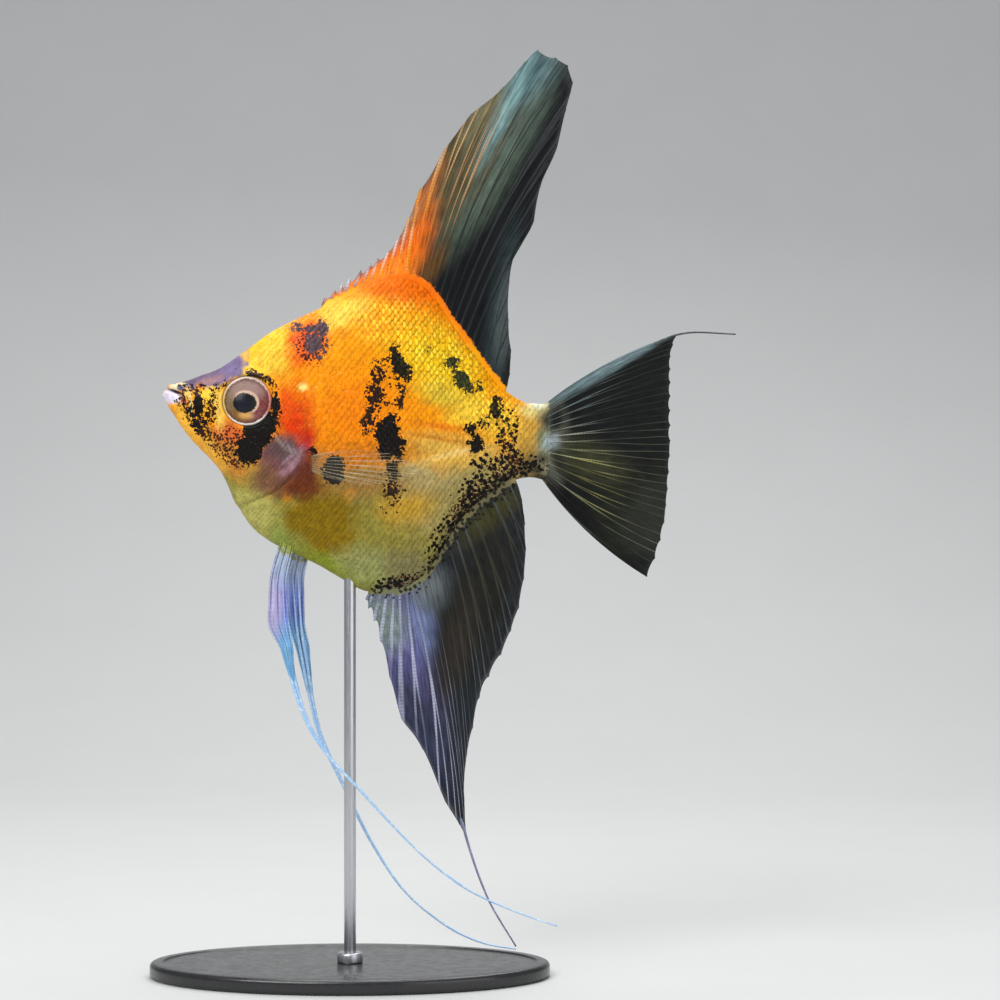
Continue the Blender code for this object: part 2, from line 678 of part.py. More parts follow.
main()
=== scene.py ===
"""The looks of a freshwater angelfish of the koi breed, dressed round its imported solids.

The fish faces -X with its left side towards -Y. Every size below is in millimetres and
MM turns it into metres where a mesh is made. The body's skin, scales and fins all read
one BodyForm and one Pigment, so that shape and markings agree from piece to piece.
"""

import logging
import math
from dataclasses import dataclass
from enum import Enum

import bpy
import numpy as np
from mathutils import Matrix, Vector


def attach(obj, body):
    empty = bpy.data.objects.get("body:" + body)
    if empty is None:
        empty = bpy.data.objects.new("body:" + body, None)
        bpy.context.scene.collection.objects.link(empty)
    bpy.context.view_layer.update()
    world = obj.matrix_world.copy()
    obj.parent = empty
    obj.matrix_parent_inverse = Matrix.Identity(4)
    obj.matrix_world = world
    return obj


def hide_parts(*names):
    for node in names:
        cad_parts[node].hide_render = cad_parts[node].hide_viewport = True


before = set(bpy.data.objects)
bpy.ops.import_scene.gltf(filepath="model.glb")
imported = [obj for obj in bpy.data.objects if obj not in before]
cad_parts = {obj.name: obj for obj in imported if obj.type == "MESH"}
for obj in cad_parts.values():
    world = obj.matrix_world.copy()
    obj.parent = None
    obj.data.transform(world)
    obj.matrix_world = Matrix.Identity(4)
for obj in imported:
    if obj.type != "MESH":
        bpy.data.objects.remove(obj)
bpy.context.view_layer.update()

MM = 0.001
SMOOTH_FOLD = 35.0
log = logging.getLogger("angelfish")

Array = np.ndarray
Piece = bpy.types.Object
Finish = bpy.types.Material
Socket = bpy.types.NodeSocket
Points = tuple[tuple[float, ...], ...]
Colour = tuple[float, float, float]


class Side(Enum):
    """A side of the fish, with the sign of Y on that side."""

    LEFT = -1
    RIGHT = 1

    @property
    def word(self) -> str:
        """The side's name in lower case."""
        return self.name.lower()


def colour(red: int, green: int, blue: int) -> Colour:
    """Turn a display colour into a linear one.

    Args:
        red: The red part, 0 to 255.
        green: The green part, 0 to 255.
        blue: The blue part, 0 to 255.

    Returns:
        The linear colour.
    """
    parts = (part / 255 for part in (red, green, blue))
    return tuple(p / 12.92 if p <= 0.04045 else ((p + 0.055) / 1.055) ** 2.4 for p in parts)


class Line:
    """A smooth curve y(x) through a few points, which never overshoots them."""

    def __init__(self, points: Points) -> None:
        """Work out the curve's slopes.

        Args:
            points: Pairs of x and y, in rising x.
        """
        self.x, self.y = np.array(points, float).T
        step = np.diff(self.x)
        slope = np.diff(self.y) / step
        self.slope = np.zeros_like(self.x)
        self.slope[0], self.slope[-1] = slope[0], slope[-1]
        before, after = slope[:-1], slope[1:]
        near, far = 2 * step[1:] + step[:-1], step[1:] + 2 * step[:-1]
        same = before * after > 0
        safe_before, safe_after = np.where(same, before, 1.0), np.where(same, after, 1.0)
        blended = (near + far) / (near / safe_before + far / safe_after)
        self.slope[1:-1] = np.where(same, blended, 0.0)

    def __call__(self, at: Array | float) -> Array:
        """The curve's height at one or many places.

        Args:
            at: The places' x.

        Returns:
            The curve's y there.
        """
        at = np.clip(at, self.x[0], self.x[-1])
        i = np.clip(np.searchsorted(self.x, at) - 1, 0, len(self.x) - 2)
        step = self.x[i + 1] - self.x[i]
        t = (at - self.x[i]) / step
        return (
            (1 + 2 * t) * (1 - t) ** 2 * self.y[i]
            + t * (1 - t) ** 2 * step * self.slope[i]
            + t * t * (3 - 2 * t) * self.y[i + 1]
            + t * t * (t - 1) * step * self.slope[i + 1]
        )


def smooth_path(points: Points, at: Array, last: float = 1.0) -> Array:
    """Places on a smooth curve through points that stand evenly from 0 to last."""
    stations = np.linspace(0.0, last, len(points))
    return np.stack([Line(tuple(zip(stations, side)))(at) for side in zip(*points)], -1)


def smooth_step(low: float, high: float, value: Array) -> Array:
    """A soft ramp from 0 at low to 1 at high."""
    t = np.clip((value - low) / (high - low), 0.0, 1.0)
    return t * t * (3 - 2 * t)


def bump(value: Array, width: float) -> Array:
    """A soft hill of height 1 at 0 that has sunk to 0.37 at the given width."""
    return np.exp(-((value / width) ** 2))


def polyline_reach(x: Array, z: Array, points: Points) -> tuple[Array, ...]:
    """How far places of the side view lie from a bent line.

    Args:
        x: The places' x.
        z: The places' z.
        points: The line's corners.

    Returns:
        The distance with its sign, positive to the left of the line's run, and the share
        of the line's length, 0 to 1, at the nearest point.
    """
    corners = np.array(points, float)
    best = np.full(np.shape(x), 1e9)
    sign = np.ones(np.shape(x))
    share = np.zeros(np.shape(x))
    lengths = np.hypot(*np.diff(corners, axis=0).T)
    total, run = lengths.sum(), 0.0
    for start, end, length in zip(corners[:-1], corners[1:], lengths):
        along_x, along_z = (end - start) / length
        t = np.clip((x - start[0]) * along_x + (z - start[1]) * along_z, 0.0, length)
        off_x, off_z = x - start[0] - t * along_x, z - start[1] - t * along_z
        far = np.hypot(off_x, off_z)
        closer = far < best
        best = np.where(closer, far, best)
        sign = np.where(closer, np.sign(along_x * off_z - along_z * off_x + 1e-12), sign)
        share = np.where(closer, (run + t) / total, share)
        run += length
    return best * sign, share


def wavy(x: Array, z: Array, size: float, seed: float) -> Array:
    """A smooth, uneven wave over the side view, about -1 to 1, with hills of a given size.

    Args:
        x: The places' x.
        z: The places' z.
        size: How wide the hills are.
        seed: What sets one wave apart from another.

    Returns:
        The wave at each place.
    """
    value = np.zeros(np.shape(x))
    for turn in range(5):
        angle = seed + turn * 2.4
        pitch = 2 * math.pi / (size * (1 + 0.35 * turn))
        run = x * math.cos(angle) + z * math.sin(angle)
        drift = np.sin((z * math.cos(angle) - x * math.sin(angle)) * pitch * 0.7 + seed)
        value = value + np.sin(run * pitch + seed * (turn + 1) + 1.3 * drift)
    return value / 3.0


@dataclass
class BodyForm:
    """The outline and sections of the body that the skin, scales and fin roots share."""

    back_line: Points = (
        (-37.6, 116.2), (-37.1, 117.1), (-36.2, 118.2), (-35.3, 118.7), (-33.6, 119),
        (-30.3, 120.2), (-26.9, 121.4), (-21.8, 124.7), (-15.5, 129.2), (-10.1, 131.9),
        (-3.6, 134.9), (2.4, 138), (6.4, 139.6), (11, 140.2), (13.8, 139.2),
        (16.4, 137), (19.8, 132), (26, 123.6), (30.6, 117.8), (33, 116),
        (35.6, 114.8), (39.4, 114.6),
    )
    belly_line: Points = (
        (-37.6, 116.2), (-37.2, 115.2), (-36.4, 113.6), (-34.6, 110.8), (-32.8, 108.2),
        (-30.3, 105.4), (-27.9, 103), (-25.7, 100.2), (-23.3, 95.2), (-19.7, 89.6),
        (-16.8, 87.2), (-12, 84.6), (-6.8, 82.2), (-1.6, 79.2), (3.8, 76.7),
        (10, 76.8), (15, 79.8), (19, 85.6), (23, 91.6), (28, 95.8),
        (33, 99), (36, 99.5), (39.4, 98.8),
    )
    half_width: Points = (
        (-37.6, 0.7), (-36.6, 1.7), (-35.3, 2.2), (-33, 2.8), (-29, 4),
        (-24, 5.2), (-20.5, 5.9), (-12, 6.9), (-4, 7.1), (5, 6.6),
        (15, 5.2), (25, 3.6), (33, 2.5), (39.4, 1.5),
    )
    widest_height: Points = (
        (-37.6, 116.2), (-33, 114.6), (-24, 113), (-12, 110), (0, 108),
        (10, 107), (20, 107.5), (30, 107), (39.4, 106.7),
    )
    back_roundness: Points = (
        (-37.6, 2.1), (-20, 1.95), (-5, 1.65), (25, 1.6), (39.4, 1.9),
    )
    belly_roundness: Points = (
        (-37.6, 2.1), (-20, 1.95), (-5, 1.8), (25, 1.65), (39.4, 1.9),
    )
    coat_depth: float = 0.25

    def __post_init__(self) -> None:
        """Turn the tables into smooth curves."""
        self.back, self.belly = Line(self.back_line), Line(self.belly_line)
        self.width, self.widest = Line(self.half_width), Line(self.widest_height)
        self.back_power = Line(self.back_roundness)
        self.belly_power = Line(self.belly_roundness)
        self.snout, self.tail = self.back_line[0][0], self.back_line[-1][0]

    def section(self, x: Array, turn: Array) -> Array:
        """Points of the body's outer surface.

        Args:
            x: Stations along the body.
            turn: The turn round the section: 0 on the right flank, a quarter at the back.

        Returns:
            An array of points with x, y and z in its last axis.
        """
        across, up = np.cos(turn), np.sin(turn)
        upper = up > 0
        height = np.where(upper, self.back(x), self.belly(x)) - self.widest(x)
        power = 2.0 / np.where(upper, self.back_power(x), self.belly_power(x))
        y = np.sign(across) * self.width(x) * np.abs(across) ** power
        z = self.widest(x) + height * np.abs(up) ** power
        return np.stack((x, y, z), -1)

    def half_width_at(self, x: Array, z: Array) -> Array:
        """Half the body's width at a place of the side view, 0 outside the outline.

        Args:
            x: The places' x.
            z: The places' z.

        Returns:
            The half widths in millimetres.
        """
        upper = z > self.widest(x)
        height = np.where(upper, self.back(x), self.belly(x)) - self.widest(x)
        power = np.where(upper, self.back_power(x), self.belly_power(x))
        share = np.clip(np.abs((z - self.widest(x)) / height), 0.0, 1.0)
        return self.width(x) * (1 - share**power) ** (1 / power)


BODY = BodyForm()


@dataclass(frozen=True)
class Patch:
    """An oval of the side view: its middle, its two half sizes, its turn and its colour.

    The turn is in degrees from level and lifts the oval's tail end.
    """

    x: float
    z: float
    long: float
    high: float
    turn: float = 0.0
    tint: Colour = (0.0, 0.0, 0.0)
    soft: float = 0.5

    def reach(self, x: Array, z: Array) -> Array:
        """How far places lie from the middle, as a share of the oval: 1 is its rim.

        Args:
            x: The places' x.
            z: The places' z.

        Returns:
            The reach of each place.
        """
        angle = math.radians(self.turn)
        along = (x - self.x) * math.cos(angle) + (z - self.z) * math.sin(angle)
        up = (z - self.z) * math.cos(angle) - (x - self.x) * math.sin(angle)
        return np.hypot(along / self.long, up / self.high)


def wash(x: float, z: float, long: float, high: float, turn: float,
         red: int, green: int, blue: int, soft: float = 0.5) -> Patch:
    """An oval of a display colour.

    Args:
        x: Its middle's x.
        z: Its middle's z.
        long: Half its length.
        high: Half its height.
        turn: Its turn from level, in degrees.
        red: The colour's red part, 0 to 255.
        green: The green part.
        blue: The blue part.
        soft: How far its rim fades.

    Returns:
        The patch.
    """
    return Patch(x, z, long, high, turn, colour(red, green, blue), soft)


INK = colour(14, 10, 8)
INK_BROWN = colour(44, 24, 12)
INK_GREEN = colour(46, 54, 30)
INK_PURPLE = colour(88, 66, 74)


@dataclass
class Pigment:
    """The fish's colours and markings, as soft fields over the side view of its body, with a painted
    shadow round the side fin's root and painted highlights streaking the gill cover.
    """

    flank: Colour = colour(255, 158, 0)
    bays: float = 0.16
    bay_size: float = 3.6
    nicks: float = 0.08
    nick_size: float = 1.1
    growth: float = 1.011
    growth_x: float = 30.0
    growth_z: float = 95.2
    outside: float = -3.0
    washes: tuple[Patch, ...] = (
        wash(4, 78, 52, 21.5, 2, 148, 138, 56, 0.2), wash(-26, 97, 11, 9, -55, 160, 148, 62, 0.4),
        wash(25, 96, 13, 9, 32, 166, 150, 88, 0.4), wash(11, 94, 5, 3.4, 10, 200, 156, 48, 0.8),
        wash(13, 100, 6, 3, 0, 180, 162, 104, 0.8), wash(19, 105.2, 8.4, 3.2, -6, 234, 184, 76, 0.7),
        wash(-5.8, 91, 7.2, 6.8, -24, 138, 110, 0, 0.3),
        wash(-14.6, 87.4, 5, 2.4, -28, 146, 156, 72, 0.8),
        wash(-3.4, 81.8, 7, 1.7, -26, 140, 152, 40, 0.8), wash(2, 99.4, 8, 3.4, 0, 160, 122, 62, 0.8),
        # Painted shadow: the first wash on the next line darkens a band of the flank round the side fin's
        # root.
        wash(2.6, 104.4, 10, 2.4, 2, 190, 116, 24, 0.7), wash(-20, 92.5, 5, 4.4, -50, 186, 180, 96, 0.5),
        wash(4, 81.8, 6.4, 3.6, -14, 154, 156, 92, 0.6), wash(11.4, 81.4, 4.2, 4, 0, 130, 124, 80, 0.7),
        wash(0, 112.6, 9, 7.4, 0, 255, 138, 0, 0.8), wash(-10.5, 118.5, 5, 7, 0, 255, 150, 0, 0.6),
        wash(-17.6, 124.8, 8, 5.4, 40, 252, 200, 50, 0.5),
        wash(-2.6, 132.6, 6.4, 2.4, 26, 255, 212, 74, 0.7),
        wash(11.5, 137.6, 10, 3.8, -8, 246, 112, 0, 0.6), wash(23.2, 130.4, 11, 2, -54, 240, 118, 8, 0.6),
        wash(18, 122.5, 10, 5.6, -38, 240, 190, 6, 0.7), wash(25, 112.6, 5.4, 3, 0, 252, 204, 52, 0.7),
        wash(18.4, 109.9, 6.4, 0.6, -8, 236, 130, 14, 0.9),
        wash(17.4, 107.6, 7, 0.45, -10, 214, 138, 40, 0.9),
        wash(21, 104.6, 6, 0.5, 14, 250, 208, 120, 0.9), wash(19, 116.2, 5, 2.2, -20, 226, 188, 50, 0.9),
        wash(31, 110, 6, 4.4, 0, 240, 176, 40, 0.6), wash(36, 106.6, 3, 7, 0, 214, 164, 62, 0.5),
        wash(37.2, 113.4, 3.2, 1.3, 0, 232, 212, 132, 0.7),
        wash(36.6, 102.4, 3, 3.4, 0, 132, 110, 60, 0.6),
        wash(39.8, 106.5, 2.3, 9.6, 0, 140, 142, 112, 0.5),
        wash(37.8, 114.5, 1.7, 0.8, -8, 238, 240, 204, 0.7),
        wash(39.5, 111.3, 1.3, 1.7, -14, 66, 68, 52, 0.7),
        wash(38.6, 103.5, 0.9, 1.2, 20, 60, 54, 46, 0.8),
        wash(37.5, 101.1, 1.1, 0.9, -10, 60, 58, 40, 0.8),
        wash(38.2, 108.2, 0.5, 1.8, -8, 116, 118, 70, 0.8),
        wash(38.6, 99.4, 2.2, 0.9, 0, 44, 42, 32, 0.7),
        wash(39.9, 106.6, 1.3, 1.6, 0, 164, 180, 172, 0.6),
        wash(40.6, 107, 0.9, 1, 0, 182, 192, 214, 0.6), wash(27.6, 95.8, 8, 1.6, 38, 104, 98, 68, 0.7),
        wash(19.2, 85.6, 7, 1.6, 60, 104, 100, 72, 0.7), wash(10, 77.4, 6.5, 1.6, 6, 118, 120, 90, 0.7),
        wash(-11.2, 110.6, 3.2, 5.6, -8, 222, 38, 0, 0.9),
        wash(-12.4, 113.6, 1.4, 3.4, 14, 240, 84, 4, 0.9), wash(-9, 106, 1.6, 3.6, -24, 214, 40, 10, 0.8),
        wash(-15.4, 104.6, 2.2, 3.4, -30, 96, 68, 62, 0.6),
        wash(-12.8, 101.8, 5, 4.4, 20, 124, 76, 84, 0.7),
        wash(-8.8, 101.4, 2, 3.4, -10, 104, 46, 36, 0.7),
        wash(-14, 100, 3.6, 0.8, 38, 176, 130, 150, 0.8),
        wash(-10.6, 103.6, 0.8, 2.4, -30, 186, 140, 150, 0.8),
        wash(-10, 98, 4.6, 2.4, 6, 106, 48, 16, 0.7), wash(-12.8, 105.2, 2.8, 2.6, 20, 98, 78, 76, 0.7),
        # Painted highlights: the four thin pale streaks over the gill cover below.
        wash(-13.8, 106.6, 1.6, 0.3, -50, 150, 134, 132, 0.9),
        wash(-12.2, 105.8, 1.8, 0.28, -62, 146, 126, 130, 0.9),
        wash(-12.6, 103.2, 2, 0.3, 42, 156, 122, 134, 0.9),
        wash(-10.9, 104.9, 1.5, 0.26, -70, 146, 118, 124, 0.9),
        wash(-16.4, 99.4, 3.2, 2.8, 0, 122, 84, 58, 0.8),
        wash(-8.8, 127.2, 3.6, 4.8, -16, 250, 92, 4, 0.5),
        wash(-9.4, 117.8, 0.9, 0.8, 0, 255, 232, 130, 0.6),
    )
    head_washes: tuple[Patch, ...] = (
        wash(-27.4, 115.2, 4.6, 3.6, 0, 250, 184, 44, 0.5),
        wash(-24.2, 108.4, 3.4, 2.6, -12, 226, 110, 50, 0.5),
        wash(-24, 103.2, 4.6, 2.2, -50, 200, 132, 48, 0.5),
        wash(-32.6, 110.4, 6.4, 2.2, -58, 250, 184, 60, 0.4),
        wash(-28.6, 104.2, 5, 2.2, -50, 244, 176, 58, 0.4),
        wash(-25.4, 121.8, 5.2, 3, 34, 124, 110, 146, 0.16),
        wash(-31, 119.9, 5, 1.8, 20, 112, 96, 122, 0.3),
        wash(-28.2, 119.2, 2.4, 0.8, 18, 164, 126, 128, 0.8),
        wash(-28.4, 116.4, 1.5, 1.5, 0, 255, 206, 56, 0.4),
        wash(-32.9, 117, 0.8, 1.3, 0, 246, 210, 120, 0.4),
        wash(-32.2, 114.6, 0.35, 1.8, 8, 250, 226, 160, 0.4),
        wash(-26.1, 113.6, 1.3, 4.2, 0, 255, 204, 88, 0.4),
        wash(-35.2, 118.2, 1.9, 0.9, 20, 238, 214, 170, 0.35),
        wash(-34.4, 117.8, 0.7, 0.5, 0, 92, 84, 112, 0.4),
        wash(-36.4, 116, 2.5, 1.3, -14, 238, 228, 246, 0.35),
        wash(-35.4, 117.1, 1.7, 0.28, -20, 44, 32, 34, 0.5),
        wash(-33.7, 115.1, 0.7, 0.45, -30, 200, 90, 90, 0.5),
    )
    ink_patches: tuple[Patch, ...] = (
        Patch(10, 121.8, 3.1, 1.9, -64, INK), Patch(8.9, 125, 1, 1.7, 0, INK),
        Patch(5.7, 121, 0.9, 1.8, 6, INK_BROWN, 0.3), Patch(5.2, 116.4, 1.5, 2.6, 0, INK_BROWN, 0.2),
        Patch(6.9, 114.9, 1.1, 0.9, 0, INK_BROWN), Patch(3.8, 111.5, 1.6, 2.7, -8, INK_BROWN, 0.25),
        Patch(10.3, 117.1, 0.7, 1.3, 0, INK_BROWN), Patch(10, 114.6, 0.9, 1.2, 14, INK_BROWN),
        Patch(7.8, 107.2, 2.7, 4.4, 4, INK), Patch(8.3, 111.3, 1.5, 1.2, 0, INK),
        Patch(10.3, 106.9, 0.9, 0.9, 0, INK), Patch(9.5, 104.7, 1.3, 1.7, 0, INK, 0.4),
        Patch(8.3, 101, 1.3, 2, 0, INK), Patch(8.4, 97.2, 1.5, 2.6, 0, INK_BROWN, 0.14),
        Patch(20.4, 122.6, 1.6, 1.4, -40, INK_GREEN), Patch(22.7, 119.2, 3.2, 1.5, -50, INK_GREEN),
        Patch(15.3, 125.2, 0.8, 0.5, 0, INK_GREEN), Patch(26.2, 117.9, 0.5, 0.9, 0, INK_GREEN),
        Patch(29.1, 113.7, 1.4, 2.4, -14, INK), Patch(24.2, 109.4, 1.4, 1.1, 0, INK),
        Patch(25.2, 106.4, 1.6, 1.8, 14, INK), Patch(-7.5, 126.8, 1.3, 3.6, 12, INK_PURPLE),
        Patch(-10.8, 129.9, 1.7, 0.8, 14, INK_PURPLE), Patch(-5.8, 129.6, 1.2, 1.7, 0, INK_PURPLE),
        Patch(-8.7, 129.4, 1.2, 0.7, -20, INK_PURPLE), Patch(-7.5, 104.6, 0.95, 0.9, 0, INK),
        wash(-3.1, 101.2, 2.5, 3, 0, 44, 40, 38), Patch(-18.4, 108.6, 3.4, 3.2, 40, INK),
        Patch(-20.4, 105.2, 2.8, 2.7, 60, INK), Patch(-16, 110.8, 1.6, 2.6, 30, INK),
        Patch(-15, 113.8, 0.9, 3.2, 4, INK), Patch(-30.6, 114.1, 1.25, 3.5, 6, INK),
        wash(-31.7, 117.2, 0.6, 1.8, 30, 42, 30, 54), Patch(-33.2, 114.9, 0.9, 0.5, -14, INK),
        Patch(-34.6, 114.9, 0.9, 0.3, 0, INK), Patch(-34.1, 118.7, 0.9, 0.26, -24, INK, 0.4),
        Patch(-33.5, 117.3, 0.3, 0.9, 8, INK, 0.4), Patch(-29.8, 118.2, 0.6, 0.6, 0, INK),
        Patch(-27.4, 116.8, 0.5, 1.1, 0, INK_BROWN), Patch(-29.3, 111.3, 1.4, 0.9, -20, INK, 0.35),
        Patch(-32.5, 112.6, 0.9, 1.9, 34, INK, 0.3), Patch(-31, 110.5, 1.9, 1, -50, INK, 0.3),
        Patch(-29.6, 108.9, 1.3, 0.9, -40, INK_BROWN, 0.3), Patch(17.4, 136.9, 2.8, 0.6, -52, INK, 0.3),
        Patch(-28.1, 114.2, 0.5, 1.5, 0, INK_BROWN, 0.3),
        Patch(-28.4, 111.9, 0.7, 0.7, 0, INK_BROWN, 0.3),
        Patch(-26.2, 117.9, 1.3, 0.5, 20, INK_BROWN, 0.3), Patch(-33.4, 116, 0.35, 1.5, 22, INK, 0.4),
        Patch(-14.9, 115.9, 0.6, 0.8, 0, INK, 0.4), Patch(-16.6, 119, 1.4, 0.5, -34, INK_BROWN, 0.3),
        Patch(-19.2, 120.4, 1.4, 0.4, -16, INK_BROWN, 0.3), Patch(26.8, 110.6, 1, 0.7, 20, INK, 0.4),
        Patch(32.8, 104.6, 0.8, 1.1, 0, INK, 0.4), Patch(36.2, 102.2, 1.2, 0.9, 20, INK, 0.35),
        Patch(26.6, 96.4, 3, 0.8, 40, INK, 0.2), Patch(21.8, 91.2, 3.2, 0.8, 56, INK, 0.2),
        Patch(18, 84.6, 3, 0.7, 64, INK, 0.2), Patch(31.4, 99.8, 2.6, 0.8, 24, INK, 0.2),
    )
    speckle_patches: tuple[Patch, ...] = (
        Patch(31.4, 109, 3.4, 6, 0), Patch(32.6, 101.6, 8.6, 4.6, 0), Patch(26.4, 102.6, 3.4, 3.2, 0),
        Patch(26.6, 97.4, 8.6, 5.4, 38), Patch(19.6, 88, 8.6, 4.2, 58), Patch(9.5, 78, 7.4, 3.4, 8),
        Patch(5.6, 118, 3.4, 5.4, 0), Patch(-6.8, 126.6, 3.6, 4.4, 0), Patch(-31, 110.6, 2.6, 1.8, -40),
        Patch(-18, 119.8, 3.6, 1.6, -26), Patch(8.4, 97.6, 1.8, 3.4, 0),
    )
    rust_patches: tuple[Patch, ...] = (
        Patch(-24.6, 106.6, 4.2, 5, -40), Patch(-27.6, 113.6, 1.6, 4.6, 0),
        Patch(-27.8, 107.4, 3.6, 2.2, -45), Patch(-23.6, 103, 3.8, 1.8, -34),
        Patch(-21.2, 102.6, 3.6, 1.6, 10), Patch(-18.6, 120.2, 3.4, 1.2, -30), Patch(-8, 126, 4.4, 5, 0),
        Patch(-30.2, 109.4, 2.4, 2, -50), Patch(24, 95, 9.4, 3.2, 50), Patch(30.6, 102, 6, 3.6, 20),
        Patch(10.6, 79, 6, 1.8, 10), Patch(31.6, 108, 2.6, 4.4, 0),
    )
    fringe_of_fin: Points = ((36.5, 98.6), (31, 98.2), (22.5, 89.6), (18.4, 83.4), (16.6, 79.6))
    fringe_width: tuple[float, float] = (1.0, 4.6)
    # Where the scales stand out most; the scale material also paints its glints here.
    glitter: tuple[Patch, ...] = (
        Patch(18.0, 124.0, 12.0, 8.5, -40.0, soft=0.5), Patch(9.0, 131.0, 10.0, 6.0, 0.0, soft=0.6),
        Patch(29.0, 113.0, 7.0, 5.0, -30.0, soft=0.6),
    )

    def blend(self, x: Array, z: Array, washes: tuple[Patch, ...],
              paint: Array | Colour, uneven: float = 1.0) -> Array:
        """Lay soft washes of colour over what is painted.

        Args:
            x: The places' x.
            z: The places' z.
            washes: The ovals of colour, first to last.
            paint: The colour so far, for all places or one row per place.
            uneven: How uneven the ovals' rims are.

        Returns:
            The new colour.
        """
        paint = np.broadcast_to(paint, (len(x), 3))
        for count, oval in enumerate(washes):
            play = self.bays * wavy(x, z, self.bay_size, 0.7 * count)
            play = play + self.nicks * wavy(x, z, self.nick_size, 1.9 * count)
            reach = oval.reach(x, z) + uneven * play
            share = 1 - smooth_step(1 - oval.soft, 1 + oval.soft, reach)
            paint = paint + (np.array(oval.tint) - paint) * share[:, None]
        return paint

    def inked(self, x: Array, z: Array) -> tuple[Array, Array]:
        """How deep places lie inside the dark patches, in mm, and the patches' colour.

        Args:
            x: The places' x.
            z: The places' z.

        Returns:
            The depths, below 0 outside, and the colours.
        """
        depth = np.full(np.shape(x), self.outside)
        tint = np.tile(np.array(INK), (len(x), 1))
        x, z = (
            x + 0.42 * wavy(x, z, 3.0, 1.0) + 0.22 * wavy(x, z, 1.2, 4.0),
            z + 0.42 * wavy(x, z, 3.0, 7.0) + 0.22 * wavy(x, z, 1.2, 9.0),
        )
        for patch in self.ink_patches:
            inside = (1 - patch.reach(x, z)) * min(patch.long, patch.high) * 2 * patch.soft
            tint = np.where((inside > depth)[:, None], np.array(patch.tint), tint)
            depth = np.maximum(depth, inside)
        return depth, tint

    def scattered(self, x: Array, z: Array, patches: tuple[Patch, ...]) -> Array:
        """How thickly dots stand at places, 0 to 1.

        Args:
            x: The places' x.
            z: The places' z.
            patches: The ovals that the dots stand in.

        Returns:
            The shares.
        """
        share = np.zeros(np.shape(x))
        for patch in patches:
            share = np.maximum(share, 1 - smooth_step(0.45, 1.15, patch.reach(x, z)))
        return share

    def dotted(self, x: Array, z: Array) -> Array:
        """How thickly black dots stand at places, most of all along the anal fin's root.

        Args:
            x: The places' x.
            z: The places' z.

        Returns:
            The shares.
        """
        off, _ = polyline_reach(x, z, self.fringe_of_fin)
        fringe = 1 - smooth_step(*self.fringe_width, np.abs(off))
        return np.maximum(self.scattered(x, z, self.speckle_patches), fringe)

    def paint(self, mesh: bpy.types.Mesh, places: Array) -> None:
        """Write the markings onto a mesh, one value per point.

        Args:
            mesh: The mesh to paint.
            places: Its points in millimetres.
        """
        x = self.growth_x + (places[:, 0] - self.growth_x) * self.growth
        z = self.growth_z + (places[:, 2] - self.growth_z) * self.growth
        coat = self.blend(x, z, self.washes, self.flank)
        coat = self.blend(x, z, self.head_washes, coat)
        depth, tint = self.inked(x, z)
        write_colour(mesh, "coat_colour", coat)
        write_colour(mesh, "ink_colour", tint)
        write_value(mesh, "ink", depth)
        write_value(mesh, "speckle", self.dotted(x, z))
        write_value(mesh, "rust", self.scattered(x, z, self.rust_patches))
        write_value(mesh, "glitter", self.scattered(x, z, self.glitter))


def write_value(mesh: bpy.types.Mesh, name: str, values: Array) -> None:
    """Store one number per point of a mesh."""
    layer = mesh.attributes.new(name, "FLOAT", "POINT")
    layer.data.foreach_set("value", np.asarray(values, np.float32))


def write_colour(mesh: bpy.types.Mesh, name: str, values: Array) -> None:
    """Store one colour per point of a mesh.

    Args:
        mesh: The mesh.
        name: The attribute's name.
        values: One colour per point.
    """
    layer = mesh.attributes.new(name, "FLOAT_COLOR", "POINT")
    whole = np.ones((len(values), 4), np.float32)
    whole[:, :3] = values
    layer.data.foreach_set("color", whole.ravel())


def points_of(mesh: bpy.types.Mesh) -> Array:
    """A mesh's points in millimetres.

    Args:
        mesh: The mesh.

    Returns:
        An array with a row per point.
    """
    flat = np.empty(len(mesh.vertices) * 3, np.float32)
    mesh.vertices.foreach_get("co", flat)
    return flat.reshape(-1, 3).astype(float) / MM


def move_points(mesh: bpy.types.Mesh, places: Array) -> None:
    """Put a mesh's points at places given in millimetres."""
    mesh.vertices.foreach_set("co", (places * MM).astype(np.float32).ravel())
    mesh.update()


def deselect() -> None:
    """Leave edit mode and select nothing."""
    if bpy.context.object and bpy.context.object.mode != "OBJECT":
        bpy.ops.object.mode_set(mode="OBJECT")
    bpy.ops.object.select_all(action="DESELECT")


def name_new(name: str, finish: Finish) -> Piece:
    """Name the primitive that was just added and give it its finish.

    Args:
        name: The piece's name.
        finish: The piece's material.

    Returns:
        The object.
    """
    made = bpy.context.object
    made.name = made.data.name = name
    made.data.materials.append(finish)
    return made


def mesh_object(name: str, corners: Array, faces: Array, finish: Finish) -> Piece:
    """Make one joined mesh from arrays.

    Args:
        name: The piece's name.
        corners: Its points in millimetres.
        faces: Its faces, each a row of point numbers.
        finish: Its material.

    Returns:
        The object, shaded smooth.
    """
    mesh = bpy.data.meshes.new(name)
    mesh.from_pydata((corners * MM).tolist(), [], faces.tolist())
    mesh.materials.append(finish)
    mesh.shade_smooth()
    made = bpy.data.objects.new(name, mesh)
    bpy.context.scene.collection.objects.link(made)
    return made


def face_out(piece: Piece) -> None:
    """Turn a closed piece's faces outwards and shade it smooth.

    Args:
        piece: The active object.
    """
    bpy.ops.object.mode_set(mode="EDIT")
    bpy.ops.mesh.select_all(action="SELECT")
    bpy.ops.mesh.normals_make_consistent(inside=False)
    bpy.ops.object.mode_set(mode="OBJECT")
    piece.data.shade_smooth()


